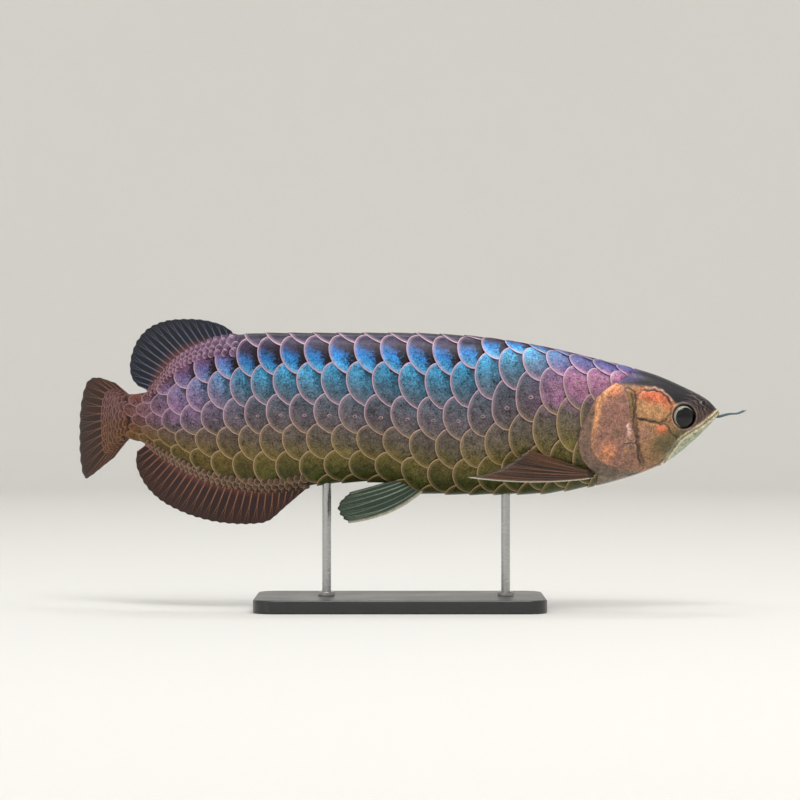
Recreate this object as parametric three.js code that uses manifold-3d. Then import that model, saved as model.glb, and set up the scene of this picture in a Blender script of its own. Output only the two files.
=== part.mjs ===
// A life-size Asian arowana in its swimming pose, held over a flat base by two rods.
// Millimetres, +Z up. The fish faces +X, its right flank looks along -Y, and the
// origin is the middle of the base's underside.

import * as THREE from 'three';
import { mergeVertices } from 'three/addons/utils/BufferGeometryUtils.js';
import Module from 'manifold-3d';

const wasm = await Module();
wasm.setup();

// Driving dimensions.
const AXIS_HEIGHT = 170;      // height of the fish's own axis over the floor
const GAP = 0.3;              // clearance between pieces that touch
const RIGHT = -1;
const LEFT = 1;

// The tail beats to the left: behind this station the axis follows one arc.
const BEND_START = -150;
const BEND_RADIUS = 180;

// Where the trunk ends.
const TAIL_END = -252;
const TRUNK_CUTS = [-196, -92, 44];   // thin cuts that part the trunk
const SLAB_REACH = 60;

// Outline of the back and of the belly, as heights over the axis at stations along it.
const BACK = through([
  [-280, 25], [-252, 24.5], [-234, 26], [-223, 36], [-206, 54], [-187, 66], [-157, 76],
  [-110, 78.5], [0, 78.5], [60, 76], [126, 66.5], [180, 54], [225, 42], [257, 28.5],
  [277, 17.5], [286, 8],
]);
const BELLY = through([
  [-280, -18], [-252, -18.5], [-238, -21], [-222, -31], [-194, -47], [-160, -60], [-118, -65],
  [-90, -62], [-66, -57.5], [-30, -55.5], [-3, -58], [16, -65.5], [60, -67], [120, -66.5],
  [170, -60], [205, -51], [238, -38], [265, -17.5], [286, 4],
]);
const HALF_WIDTH = through([
  [-280, 5], [-252, 6.5], [-225, 8.5], [-190, 12], [-150, 17], [-100, 23], [-40, 28],
  [20, 30.5], [90, 32], [150, 32], [200, 30], [230, 26], [252, 21], [268, 16], [279, 10.5],
  [286, 4],
]);
// 1 rounds the ridge like an ellipse, less flattens it, more sharpens it.
const BACK_RIDGE = through([
  [-280, 1], [-245, 1.1], [-215, 1.6], [-180, 1.6], [-140, 1], [-60, 0.85], [120, 0.8],
  [286, 0.8],
]);
const BELLY_RIDGE = through([
  [-280, 1], [-245, 1.1], [-210, 1.6], [-120, 1.5], [-80, 1.1], [-20, 0.95], [60, 1],
  [286, 1],
]);
const WIDEST = 0.52;          // where the flank is widest, as a share of the depth

// Smooth curve through [station, value] pairs, which never overshoots them.
function through(pairs) {
  const last = pairs.length - 1;
  const rise = pairs.slice(1).map(([x, v], k) => (v - pairs[k][1]) / (x - pairs[k][0]));
  const slope = pairs.map((_, k) => {
    if (k === 0) return rise[0];
    if (k === last) return rise[last - 1];
    const [a, b] = [rise[k - 1], rise[k]];
    return a * b <= 0 ? 0 : (2 * a * b) / (a + b);
  });
  return (x) => {
    const clamped = Math.min(Math.max(x, pairs[0][0]), pairs[last][0]);
    let k = 0;
    while (k < last - 1 && clamped > pairs[k + 1][0]) k += 1;
    const span = pairs[k + 1][0] - pairs[k][0];
    const t = (clamped - pairs[k][0]) / span;
    const [t2, t3] = [t * t, t * t * t];
    return (
      pairs[k][1] * (2 * t3 - 3 * t2 + 1) +
      pairs[k + 1][1] * (3 * t2 - 2 * t3) +
      slope[k] * span * (t3 - 2 * t2 + t) +
      slope[k + 1] * span * (t3 - t2)
    );
  };
}

const mix = (a, b, t) => a + (b - a) * t;

// Smooth step from 0 to 1 as x goes from low to high.
function ease(low, high, x) {
  return THREE.MathUtils.smoothstep(x, low, high);
}

// A point of the straight fish, carried to where the bent tail puts it.
function bend(p) {
  const arc = BEND_START - p.x;
  const z = p.z + AXIS_HEIGHT;
  if (arc <= 0) return new THREE.Vector3(p.x, p.y, z);
  const turn = arc / BEND_RADIUS;
  const reach = BEND_RADIUS - p.y;
  return new THREE.Vector3(
    BEND_START - reach * Math.sin(turn),
    BEND_RADIUS - reach * Math.cos(turn),
    z,
  );
}

// Half width of the body at a station and a height over the axis.
function bodyHalfWidth(x, z) {
  const [back, belly] = [BACK(x), BELLY(x)];
  const widest = mix(belly, back, WIDEST);
  const upper = z > widest;
  const share = (z - widest) / (upper ? back - widest : belly - widest);
  const ridge = upper ? BACK_RIDGE(x) : BELLY_RIDGE(x);
  return HALF_WIDTH(x) * Math.sqrt(Math.max(0, 1 - share * share)) ** ridge;
}

// Skin point of the straight fish. The angle runs from 0 at the back to PI at the
// belly down the right flank, and on to 2 PI up the left one.
function skin(x, angle, grow = 0) {
  const [back, belly] = [BACK(x), BELLY(x)];
  const widest = mix(belly, back, WIDEST);
  const up = Math.cos(angle);
  const across = Math.sin(angle);
  const ridge = up > 0 ? BACK_RIDGE(x) : BELLY_RIDGE(x);
  const reach = up > 0 ? back + grow - widest : widest - belly + grow;
  return new THREE.Vector3(
    x,
    RIGHT * Math.sign(across) * Math.abs(across) ** ridge * (HALF_WIDTH(x) + grow),
    widest + up * reach,
  );
}

// Closed tube over the skin between two stations, straight.
function hull(from, to, grow = 0, around = 28, along = 16) {
  const tube = new THREE.CylinderGeometry(1, 1, 1, around, along);
  tube.deleteAttribute('normal');
  tube.deleteAttribute('uv');
  const closed = mergeVertices(tube, 1e-4);
  const spots = closed.getAttribute('position');
  for (let k = 0; k < spots.count; k += 1) {
    const [cx, cy, cz] = [spots.getX(k), spots.getY(k), spots.getZ(k)];
    const x = mix(from, to, cy + 0.5);
    const middle = Math.hypot(cx, cz) < 0.5;
    const angle = Math.atan2(cx, cz);
    const onAxis = new THREE.Vector3(x, 0, mix(BELLY(x), BACK(x), WIDEST));
    const p = middle ? onAxis : skin(x, angle, grow);
    spots.setXYZ(k, p.x, p.y, p.z);
  }
  return closed;
}

// Moves every vertex of a straight geometry to its place on the bent fish.
function bent(geometry) {
  const spots = geometry.getAttribute('position');
  for (let k = 0; k < spots.count; k += 1) {
    const p = bend(new THREE.Vector3().fromBufferAttribute(spots, k));
    spots.setXYZ(k, p.x, p.y, p.z);
  }
  return geometry;
}

// A closed geometry as a solid that can be joined and cut.
function solid(geometry) {
  const bare = new THREE.BufferGeometry();
  bare.setAttribute('position', geometry.getAttribute('position'));
  if (geometry.index) bare.setIndex(geometry.index);
  const merged = mergeVertices(bare, 1e-4);
  const make = (triVerts) => new wasm.Manifold(new wasm.Mesh({
    numProp: 3,
    vertProperties: merged.getAttribute('position').array,
    triVerts,
  }));
  const made = make(new Uint32Array(merged.index.array));
  if (made.volume() > 0) return made;
  const turned = new Uint32Array(merged.index.array);
  for (let k = 0; k < turned.length; k += 3) {
    [turned[k + 1], turned[k + 2]] = [turned[k + 2], turned[k + 1]];
  }
  return make(turned);
}

// The largest closed surface of a solid.
function largest(body) {
  const bodies = body.decompose();
  return bodies.reduce((a, b) => (b.volume() > a.volume() ? b : a));
}

function geometryOf(body) {
  const made = body.getMesh();
  const spots = new Float32Array(made.numVert * 3);
  for (let k = 0; k < made.numVert; k += 1) {
    const from = k * made.numProp;
    spots.set(made.vertProperties.subarray(from, from + 3), k * 3);
  }
  const geometry = new THREE.BufferGeometry();
  geometry.setAttribute('position', new THREE.BufferAttribute(spots, 3));
  geometry.setIndex(new THREE.BufferAttribute(made.triVerts, 1));
  geometry.computeVertexNormals();
  return geometry;
}

// Prism over an outline of [x, z] points, which runs across the fish from near to far.
function prism(outline, near, far) {
  const shape = new THREE.Shape(outline.map(([x, z]) => new THREE.Vector2(x, z)));
  const made = new THREE.ExtrudeGeometry(shape, {
    depth: far - near, bevelEnabled: false, steps: 1,
  });
  made.rotateX(Math.PI / 2);
  made.translate(0, far, AXIS_HEIGHT);
  return solid(made);
}

// Closed outline of [x, z] points moved outward by a distance.
function widened(outline, distance) {
  const points = outline.map(([x, z]) => new THREE.Vector2(x, z));
  const outward = Math.sign(THREE.ShapeUtils.area(points)) * distance;
  return points.map((p, k) => {
    const before = points[(k + points.length - 1) % points.length];
    const after = points[(k + 1) % points.length];
    const a = p.clone().sub(before).normalize();
    const b = after.clone().sub(p).normalize();
    const lean = a.clone().add(b).normalize();
    const reach = outward / Math.max(lean.dot(a), 0.5);
    return [p.x + lean.y * reach, p.y - lean.x * reach];
  });
}

// Flat slab across the body, whose front face crosses the bent axis at a station.
function slabAt(rear, front) {
  const slab = new THREE.BoxGeometry(front - rear, SLAB_REACH * 3, SLAB_REACH * 3);
  slab.translate((rear - front) / 2, 0, 0);
  slab.rotateZ(-Math.max(0, (BEND_START - front) / BEND_RADIUS));
  const middle = bend(new THREE.Vector3(front, 0, 0));
  slab.translate(middle.x, middle.y, middle.z);
  return solid(slab);
}

// Plate with its two faces split into like triangles. The place function gives the
// middle and the normal of the plate, and half its thickness, at shares a and b.
function plate(across, along, place) {
  const spots = [];
  const faces = [];
  const at = (i, j, side) => ((i * (along + 1)) + j) * 2 + side;
  for (let i = 0; i <= across; i += 1) {
    for (let j = 0; j <= along; j += 1) {
      const { middle, normal, half } = place(i / across, j / along, i, j);
      for (const sign of [-1, 1]) {
        const p = bend(middle.clone().addScaledVector(normal, sign * half));
        spots.push(p.x, p.y, p.z);
      }
    }
  }
  const quad = (a, b, c, d) => faces.push(a, b, c, a, c, d);
  for (let i = 0; i < across; i += 1) {
    for (let j = 0; j < along; j += 1) {
      quad(at(i, j, 1), at(i + 1, j, 1), at(i + 1, j + 1, 1), at(i, j + 1, 1));
      faces.push(at(i, j, 0), at(i + 1, j + 1, 0), at(i + 1, j, 0));
      faces.push(at(i, j, 0), at(i, j + 1, 0), at(i + 1, j + 1, 0));
    }
  }
  for (let i = 0; i < across; i += 1) {
    quad(at(i, 0, 0), at(i + 1, 0, 0), at(i + 1, 0, 1), at(i, 0, 1));
    quad(at(i, along, 1), at(i + 1, along, 1), at(i + 1, along, 0), at(i, along, 0));
  }
  for (let j = 0; j < along; j += 1) {
    quad(at(0, j, 1), at(0, j + 1, 1), at(0, j + 1, 0), at(0, j, 0));
    quad(at(across, j, 0), at(across, j + 1, 0), at(across, j + 1, 1), at(across, j, 1));
  }
  const geometry = new THREE.BufferGeometry();
  geometry.setAttribute('position', new THREE.Float32BufferAttribute(spots, 3));
  geometry.setIndex(faces);
  return solid(geometry);
}

// Smooth curve through points given as [x, z] or [x, y, z].
function curve(points) {
  return new THREE.CatmullRomCurve3(points.map((p) => (
    p.length === 2 ? new THREE.Vector3(p[0], 0, p[1]) : new THREE.Vector3(...p)
  )), false, 'centripetal');
}

// Large scales. Rows run along the fish, from 0 on the ridge of the back, over 3 on the
// lateral line, to 6 under the belly. Columns slant forward from belly to back.
const LATERAL_ROW = 3;
const BELLY_ROW = 6;
const COLUMN_SLANT = 0.3;     // how many columns each row stands ahead of the row below
const SCALE_RISE = 0.8;       // how far a rim stands over the mean skin, and its foot below
const FIRST_COLUMN = -15.3;
const LAST_COLUMN = 8.7;
const COLUMN_STATION = through([
  [-16.2, -271], [-14, -243], [-12, -212], [-9, -157], [-7, -119], [-4, -54], [0, 38.7],
  [3, 103.5], [6, 167], [9, 230], [10, 250],
]);
const LATERAL_LINE = through([
  [-280, 2], [-250, 0], [-200, -3], [-166, 0], [-109, 4.5], [-43, 3.6], [10, 0.5],
  [50, -0.7], [75, 3.6], [98, 12], [118, 21], [139.5, 28.8], [161, 33.3], [178, 34],
  [250, 34],
]);
// 1 spaces the rows over the lateral line evenly, more crowds them towards the ridge.
const ROW_CROWDING = through([[-280, 1], [40, 1], [125, 1.9], [250, 1.9]]);
// Points of a scale's rear rim, in columns and rows from the scale's centre.
const RIM = {
  upperShoulder: [-0.38, -0.55],
  upperCorner: [-0.52, -0.29],
  lowerCorner: [-0.48, 0.28],
  lowerShoulder: [-0.21, 0.56],
  tip: [-0.5, 0],             // only on a scale that lies astride the middle plane
};

// Angle round the section at which a row runs.
function rowAngle(x, row) {
  const steps = 60;
  const lengths = [0];
  let lineLength = 0;
  let before = skin(x, 0);
  for (let k = 1; k <= steps; k += 1) {
    const p = skin(x, (Math.PI * k) / steps);
    lengths.push(lengths[k - 1] + p.distanceTo(before));
    if (p.z > LATERAL_LINE(x)) lineLength = lengths[k];
    before = p;
  }
  const below = lengths[steps] - lineLength;
  const goal = row <= LATERAL_ROW
    ? lineLength * (row / LATERAL_ROW) ** ROW_CROWDING(x)
    : lineLength + (below * (row - LATERAL_ROW)) / (BELLY_ROW - LATERAL_ROW);
  let k = 1;
  while (k < steps && lengths[k] < goal) k += 1;
  const share = (goal - lengths[k - 1]) / (lengths[k] - lengths[k - 1]);
  return (Math.PI * (k - 1 + share)) / steps;
}

// Closed skin of overlapping scales: each stands over its neighbours behind along its
// rear rim, and slopes down forward to under the rims of the scales ahead.
function scaledSkin() {
  const spots = [];
  const faces = [];
  const seen = new Map();

  const spot = (p) => {
    const q = bend(p);
    spots.push(q.x, q.y, q.z);
    return spots.length / 3 - 1;
  };

  function corner(column, row, name, level, side) {
    const onMiddle = name === 'tip';
    const key = [column, row, name, level, onMiddle ? 0 : side].join();
    if (!seen.has(key)) {
      const [ahead, down] = RIM[name];
      const centre = column + 0.5 + COLUMN_SLANT * (LATERAL_ROW - row);
      const x = COLUMN_STATION(centre + ahead);
      const p = skin(x, rowAngle(x, row + down), level * SCALE_RISE);
      if (side === LEFT) p.y = -p.y;
      if (onMiddle) p.y = 0;
      seen.set(key, spot(p));
    }
    return seen.get(key);
  }

  const triangle = (a, b, c, side) => faces.push(...(side === RIGHT ? [a, b, c] : [a, c, b]));

  // Step down from a scale's rim to the skin behind it, from one rim point to the next.
  function wall(column, row, side, names) {
    const high = (name) => corner(column, row, name, 1, side);
    const low = (name) => corner(column, row, name, -1, side);
    for (let k = 1; k < names.length; k += 1) {
      const [p, q] = [names[k - 1], names[k]];
      if (p === 'top') {
        const top = corner(column, row - 1, 'lowerCorner', -1, side);
        triangle(high(q), top, low(q), side);
      } else if (q === 'bottom') {
        const bottom = corner(column + 1, row + 1, 'upperCorner', -1, side);
        triangle(bottom, high(p), low(p), side);
      } else {
        triangle(high(q), high(p), low(p), side);
        triangle(high(q), low(p), low(q), side);
      }
    }
  }

  // Face of a scale: a strip between its rear rim and its front edge, which run down
  // the flank with one more point at each end, where the two meet.
  function cover(top, rear, front, bottom, side) {
    triangle(top, rear[0], front[0], side);
    halfCover(rear, front, bottom, side);
  }

  // Half of such a face, from the middle plane out to the point where it ends.
  function halfCover(rear, front, end, side) {
    for (let k = 1; k < rear.length; k += 1) {
      triangle(front[k - 1], rear[k - 1], rear[k], side);
      triangle(front[k - 1], rear[k], front[k], side);
    }
    triangle(front[front.length - 1], rear[rear.length - 1], end, side);
  }

  function flankScale(column, row, side) {
    const own = (name) => corner(column, row, name, 1, side);
    const over = (name) => corner(column, row - 1, name, -1, side);
    const ahead = (name) => corner(column + 1, row, name, -1, side);
    const under = (name) => corner(column + 1, row + 1, name, -1, side);
    const rear = ['upperShoulder', 'upperCorner', 'lowerCorner', 'lowerShoulder'];
    const front = [
      over('lowerShoulder'), ahead('upperCorner'), ahead('lowerCorner'), under('upperShoulder'),
    ];
    cover(over('lowerCorner'), rear.map(own), front, under('upperCorner'), side);
    wall(column, row, side, ['top', ...rear, 'bottom']);
  }

  // Scales astride the ridge of the back and the keel of the belly run over the middle.
  function backScale(column) {
    const rearTip = corner(column, 0, 'tip', 1, RIGHT);
    const frontTip = corner(column + 1, 0, 'tip', -1, RIGHT);
    for (const side of [RIGHT, LEFT]) {
      const own = (name) => corner(column, 0, name, 1, side);
      const under = (name) => corner(column + 1, 1, name, -1, side);
      const rear = [rearTip, own('lowerCorner'), own('lowerShoulder')];
      const front = [
        frontTip, corner(column + 1, 0, 'lowerCorner', -1, side), under('upperShoulder'),
      ];
      halfCover(rear, front, under('upperCorner'), side);
      wall(column, 0, side, ['tip', 'lowerCorner', 'lowerShoulder', 'bottom']);
    }
  }

  function bellyScale(column) {
    const rearTip = corner(column, BELLY_ROW, 'tip', 1, RIGHT);
    const frontTip = corner(column + 1, BELLY_ROW, 'tip', -1, RIGHT);
    for (const side of [RIGHT, LEFT]) {
      const own = (name) => corner(column, BELLY_ROW, name, 1, side);
      const over = (name) => corner(column, BELLY_ROW - 1, name, -1, side);
      const rear = [rearTip, own('upperCorner'), own('upperShoulder')];
      const front = [
        frontTip, corner(column + 1, BELLY_ROW, 'upperCorner', -1, side),
        over('lowerShoulder'),
      ];
      halfCover(rear, front, over('lowerCorner'), -side);
      wall(column, BELLY_ROW, side, ['top', 'upperShoulder', 'upperCorner', 'tip']);
    }
  }

  for (let row = 0; row <= BELLY_ROW; row += 1) {
    const lead = 0.5 + COLUMN_SLANT * (LATERAL_ROW - row);
    const from = Math.ceil(FIRST_COLUMN - lead);
    const to = Math.floor(LAST_COLUMN - lead);
    for (let column = from; column <= to; column += 1) {
      if (row === 0) backScale(column);
      else if (row === BELLY_ROW) bellyScale(column);
      else for (const side of [RIGHT, LEFT]) flankScale(column, row, side);
    }
  }

  // Each open end is drawn in to a point on the axis past it.
  const open = new Map();
  for (let k = 0; k < faces.length; k += 3) {
    for (let n = 0; n < 3; n += 1) {
      const [a, b] = [faces[k + n], faces[k + ((n + 1) % 3)]];
      if (open.has([b, a].join())) open.delete([b, a].join());
      else open.set([a, b].join(), [a, b]);
    }
  }
  const endSpots = [-286, 262].map((x) => spot(new THREE.Vector3(x, 0, 0)));
  for (const [a, b] of open.values()) {
    faces.push(b, a, endSpots[spots[a * 3] < 0 ? 0 : 1]);
  }
  const geometry = new THREE.BufferGeometry();
  geometry.setAttribute('position', new THREE.Float32BufferAttribute(spots, 3));
  geometry.setIndex(faces);
  return geometry;
}

// Trunk.
const NECK = [[218, 90], [213, 50], [205, 41], [192, 33], [180, 22], [176, 0], [176, -90]];

function trunk() {
  return solid(scaledSkin()).subtract(slabAt(TAIL_END - SLAB_REACH, TAIL_END));
}

// The region in front of the neck line, less a margin.
function frontRegion(margin = 0) {
  return prism(widened([...NECK, [330, -90], [330, 90]], -margin), -80, 80);
}

// Fins. Each is a fan of rays from a root line to a margin line: the rays stand up as
// ridges on both faces of the membrane, and reach a little past its edge.
const RAY_ROOT = 1;           // half thickness of a ray at its root
const RAY_TIP = 0.4;
const WEB_ROOT = 0.45;        // half thickness of the membrane between rays
const WEB_TIP = 0.28;
const WEB_NOTCH = 1.4;        // how far the membrane falls short of the ray tips
const SINK = 4;               // how deep a fin's root stands in the body
const SLOT_TOP = 6;           // how far a slot for a root reaches out over it
const SLOT_DEEP = 0.8;        // free depth under a root
const SLOT_WIDE = 0.42;       // clearance at each face, for the chords of the bend

const DORSAL = {
  rays: 19,
  root: curve([[-150, 77], [-172, 71.5], [-190, 64], [-205, 54], [-217, 43], [-225, 33],
    [-232, 27.5]]),
  margin: curve([[-152, 80.5], [-162, 86.5], [-178, 90.5], [-195, 91.5], [-213, 90],
    [-230, 84], [-243, 73], [-250, 60], [-252, 48], [-249, 38], [-242, 31]]),
};
const ANAL = {
  rays: 26,
  root: curve([[-84, -61], [-118, -64.5], [-160, -59.5], [-194, -46.5], [-218, -33],
    [-234, -23.5]]),
  margin: curve([[-88, -65], [-104, -79], [-118, -91], [-133, -94], [-152, -93.8],
    [-172, -91], [-196, -84], [-219, -73], [-235, -59], [-244, -42], [-243, -29]]),
};

// Point on the ray at share a along the fin, at a distance out from its root.
function onRay({ root, margin }, a, out) {
  const foot = root.getPointAt(a);
  const way = margin.getPointAt(a).sub(foot).normalize();
  return foot.addScaledVector(way, out);
}

// Fan in the fish's own middle plane, its root sunk in the body.
function medianFin(fin) {
  return plate(fin.rays * 2, 3, (a, b, i) => {
    const isRay = i % 2 === 0;
    const span = fin.root.getPointAt(a).distanceTo(fin.margin.getPointAt(a));
    const reach = isRay ? span : span - WEB_NOTCH;
    return {
      middle: onRay(fin, a, mix(-SINK, reach, b)),
      normal: new THREE.Vector3(0, 1, 0),
      half: isRay ? mix(RAY_ROOT, RAY_TIP, b) : mix(WEB_ROOT, WEB_TIP, b),
    };
  });
}

// Slot in the body for that root, with the clearance all round.
function medianSlot(fin) {
  return plate(Math.round(fin.rays / 2), 1, (a, b) => {
    const past = fin.root.getTangentAt(a).multiplyScalar((2 * a - 1) * GAP);
    return {
      middle: onRay(fin, a, mix(-SINK - SLOT_DEEP, SLOT_TOP, b)).add(past),
      normal: new THREE.Vector3(0, 1, 0),
      half: RAY_ROOT + SLOT_WIDE,
    };
  });
}

// Tail fin: a fleshy scaled base that thins into a fan of rays.
const CAUDAL = {
  rays: 17,
  root: curve([[-252, 23], [-252, 12], [-252, 3], [-252, -7], [-252, -17]]),
  margin: curve([[-269, 34], [-293, 39], [-309, 36], [-318, 23], [-322, 5], [-322, -15],
    [-321, -33], [-317, -49], [-308, -54.5], [-271, -35]]),
};
const LOBE_END = 0.38;        // where the fleshy base has thinned to the fan

function caudalFin() {
  return plate(CAUDAL.rays * 2, 5, (a, b, i) => {
    const foot = CAUDAL.root.getPoint(a);
    const tip = CAUDAL.margin.getPoint(a);
    foot.x -= GAP;
    const isRay = i % 2 === 0;
    const end = tip.clone().lerp(foot, isRay ? 0 : 0.03);
    const middle = foot.clone().lerp(end, b);
    const fleshy = bodyHalfWidth(TAIL_END, foot.z) * (1 - ease(0, LOBE_END, b));
    const fan = isRay ? mix(RAY_ROOT, RAY_TIP, b) : mix(WEB_ROOT, WEB_TIP, b);
    return { middle, normal: new THREE.Vector3(0, 1, 0), half: Math.max(fleshy, fan) };
  });
}

// Paired fins, given for the left side. Each ray runs root to tip with a sag between.
const PECTORAL = {
  rays: 8,
  root: curve([[170, 23, -51], [167, 25, -48], [165, 26.5, -44]]),
  margin: curve([[58, 56, -50], [80, 51, -46], [98, 44, -37], [113, 37, -26]]),
  sag: new THREE.Vector3(0, 3, -4),
  rootHalf: 1.6,
};
const PELVIC = {
  rays: 6,
  root: curve([[20, 7, -62], [9, 9, -58], [-2, 9, -54]]),
  margin: curve([[-47, 19, -92], [-54, 22, -85], [-56, 24, -76], [-46, 25, -66]]),
  sag: new THREE.Vector3(4, 0, -6),
  rootHalf: 1.4,
};

function pairedPlace({ root, margin, sag, rootHalf }, side, a, t, out, half) {
  const foot = root.getPoint(a);
  const tip = margin.getPoint(a);
  const way = tip.clone().sub(foot).normalize();
  const normal = new THREE.Vector3().crossVectors(
    root.getPoint(1).sub(root.getPoint(0)),
    margin.getPoint(0.5).sub(root.getPoint(0.5)),
  ).normalize();
  const start = foot.clone().addScaledVector(way, -SINK - out);
  const middle = start.lerp(tip, t).addScaledVector(sag, 4 * t * (1 - t) * (1 - a));
  middle.y *= side;
  normal.y *= side;
  return { middle, normal, half: half ?? rootHalf };
}

function pairedFin(fin, side) {
  return plate(fin.rays * 2, 4, (a, b, i) => {
    const isRay = i % 2 === 0;
    const web = mix(fin.rootHalf, WEB_TIP, ease(0, 0.3, b));
    const ray = mix(fin.rootHalf, RAY_TIP, ease(-0.2, 1.1, b));
    const reach = isRay ? 1 : 1 - WEB_NOTCH / 60;
    return pairedPlace(fin, side, a, b * reach, 0, isRay ? ray : web);
  });
}

// Slot for the root, a little longer, wider and deeper than it.
function pairedSlot(fin, side) {
  const slotShare = 0.25;
  const widen = 0.06;
  return plate(4, 3, (a, b) => {
    const wide = mix(-widen, 1 + widen, a);
    const place = pairedPlace(fin, side, a, b * slotShare, SLOT_DEEP, fin.rootHalf + SLOT_WIDE);
    const tangent = fin.root.getPoint(1).sub(fin.root.getPoint(0)).multiplyScalar(wide - a);
    tangent.y *= side;
    place.middle.add(tangent);
    return place;
  });
}

// Head. Plates are given by their outlines seen from the side.
const HEAD_PROUD = 0.4;
const PLATE_PROUD = 1.3;
const LIP_PROUD = 1.2;
const JAW_PROUD = 0.5;
const LIP = 3;                // height of each lip
const MOUTH = [[292, 9], [284, 6], [270, -4.5], [258, -11.5], [250, -17.5], [241, -30],
  [233, -46]];
const CHEEK_PLATES = [
  [[211, 21], [217, 25.5], [227, 26], [236, 22.5], [241, 15], [241.5, 8], [236, 1],
    [229, -1], [222, 0.5], [211, 3]],
  [[211, 1], [222, -2], [231, -4], [238, -4.5], [240, -10], [247, -17], [240, -27],
    [235, -35], [222, -41.5], [216, -32], [212.5, -15]],
  [[199.5, 28], [208.5, 24], [208, 0], [210, -19], [196, -19], [198, -10], [203, 5]],
  [[197, -22], [210.5, -21.5], [213, -35], [217, -43], [208, -47.5], [200, -45]],
];
const GILL_PROUD = 1.2;
const GILL_THICK = 2.6;
const GILL_EDGE = [[191, 33], [181, 26], [173, 18], [166, 4], [160, -9], [158, -19],
  [160, -31], [166, -40], [175, -47], [188, -51]];
const GILL_FRONT = [[198, -47], [196, -20], [201, 4], [198, 28]];
const NOSTRIL = { x: 272, z: 14.5, radius: 1.9, wall: 0.8, deep: 2 };

// Closed skin of the head, standing proud of the mean skin.
const headHull = (proud) => solid(bent(hull(164, 286 + proud, proud, 28, 15)));
const across = { [LEFT]: [2, 80], [RIGHT]: [-80, -2] };

const shifted = (outline, dx, dz) => outline.map(([x, z]) => [x + dx, z + dz]);

function mouthRegion(grow = 0) {
  return prism(widened([...MOUTH, [233, -100], [320, -100]], grow), -80, 80);
}

// Band along the mouth line, from one height over it to another.
function lipBand(from, to) {
  return prism([...shifted(MOUTH, 0, from), ...shifted(MOUTH, 0, to).reverse()], -80, 80);
}

// Curved plate over one side of the gills, or the pocket that it lies in.
function gillCover(side, grow = 0) {
  const outer = solid(bent(hull(145, 215, GILL_PROUD + grow, 28, 8)));
  const inner = solid(bent(hull(135, 225, GILL_PROUD - GILL_THICK - grow, 28, 9)));
  const outline = widened([...GILL_EDGE, ...GILL_FRONT], grow);
  return outer.intersect(prism(outline, ...across[side])).subtract(inner);
}

// Lays a small piece, modelled on the middle plane, on the skin of one side.
function draped(geometry, side) {
  const spots = geometry.getAttribute('position');
  for (let k = 0; k < spots.count; k += 1) {
    const [x, y, z] = [spots.getX(k), spots.getY(k), spots.getZ(k)];
    spots.setXYZ(k, x, side * (bodyHalfWidth(x, z) + HEAD_PROUD + y), z + AXIS_HEIGHT);
  }
  return solid(geometry);
}

function skinRing(x, z, radius, thick, sides, around, side) {
  const ring = new THREE.TorusGeometry(radius, thick, sides, around);
  ring.rotateX(Math.PI / 2);
  ring.translate(x, 0, z);
  return draped(ring, side);
}

function nostrilPit(side) {
  const pit = new THREE.CylinderGeometry(
    NOSTRIL.radius - NOSTRIL.wall, NOSTRIL.radius - NOSTRIL.wall, NOSTRIL.deep * 2, 8,
  );
  pit.translate(NOSTRIL.x, 0, NOSTRIL.z);
  return draped(pit, side);
}

// Eyes. Each sits in a round socket, inside a low raised rim.
const EYE = { x: 253.6, z: 3.2, radius: 10.2, depth: 6, sink: 3, back: 3, rim: 1.3 };

// Carries a piece modelled at the origin, looking along +Y, to one eye's place.
function atEye(geometry, side) {
  const here = bodyHalfWidth(EYE.x, EYE.z);
  const forward = bodyHalfWidth(EYE.x + 1, EYE.z) - here;
  const outward = new THREE.Vector3(-forward, 1, 0).normalize();
  const turn = new THREE.Quaternion().setFromUnitVectors(new THREE.Vector3(0, 1, 0), outward);
  geometry.applyQuaternion(turn);
  geometry.translate(EYE.x, here, EYE.z + AXIS_HEIGHT);
  geometry.scale(1, side, 1);
  return solid(geometry);
}

// Lens with a domed front and a flat back, which ends inside the head.
function eye(side) {
  const rings = 4;
  const dome = [];
  for (let k = 0; k <= rings; k += 1) {
    const turn = (Math.PI / 2) * (k / rings);
    dome.push(new THREE.Vector2(EYE.radius * Math.cos(turn), EYE.depth * Math.sin(turn)));
  }
  dome[rings].x = 0;
  const profile = [new THREE.Vector2(0, -EYE.back), new THREE.Vector2(EYE.radius, -EYE.back)];
  const ball = new THREE.LatheGeometry([...profile, ...dome], 18);
  ball.translate(0, -EYE.sink, 0);
  return atEye(ball, side);
}

function eyeSocket(side) {
  const deep = EYE.back + EYE.sink + GAP;
  const well = new THREE.CylinderGeometry(EYE.radius + GAP, EYE.radius + GAP, deep + 9, 18);
  well.translate(0, (9 - deep) / 2, 0);
  return atEye(well, side);
}

function headSolid() {
  const plates = headHull(PLATE_PROUD);
  let body = headHull(HEAD_PROUD);
  for (const side of [LEFT, RIGHT]) {
    for (const outline of CHEEK_PLATES) {
      body = body.add(plates.intersect(prism(outline, ...across[side])));
    }
    body = body.add(skinRing(EYE.x, EYE.z, EYE.radius + EYE.rim, EYE.rim, 5, 18, side));
    body = body.add(skinRing(NOSTRIL.x, NOSTRIL.z, NOSTRIL.radius, NOSTRIL.wall, 4, 8, side));
    body = body.subtract(nostrilPit(side));
    body = body.subtract(eyeSocket(side));
  }
  body = body.add(headHull(LIP_PROUD).intersect(lipBand(0, LIP)));
  return body.intersect(frontRegion(GAP)).subtract(mouthRegion(GAP));
}

function jawSolid() {
  const body = headHull(JAW_PROUD).add(headHull(LIP_PROUD).intersect(lipBand(-LIP, 0)));
  return body.intersect(mouthRegion(0));
}

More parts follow.
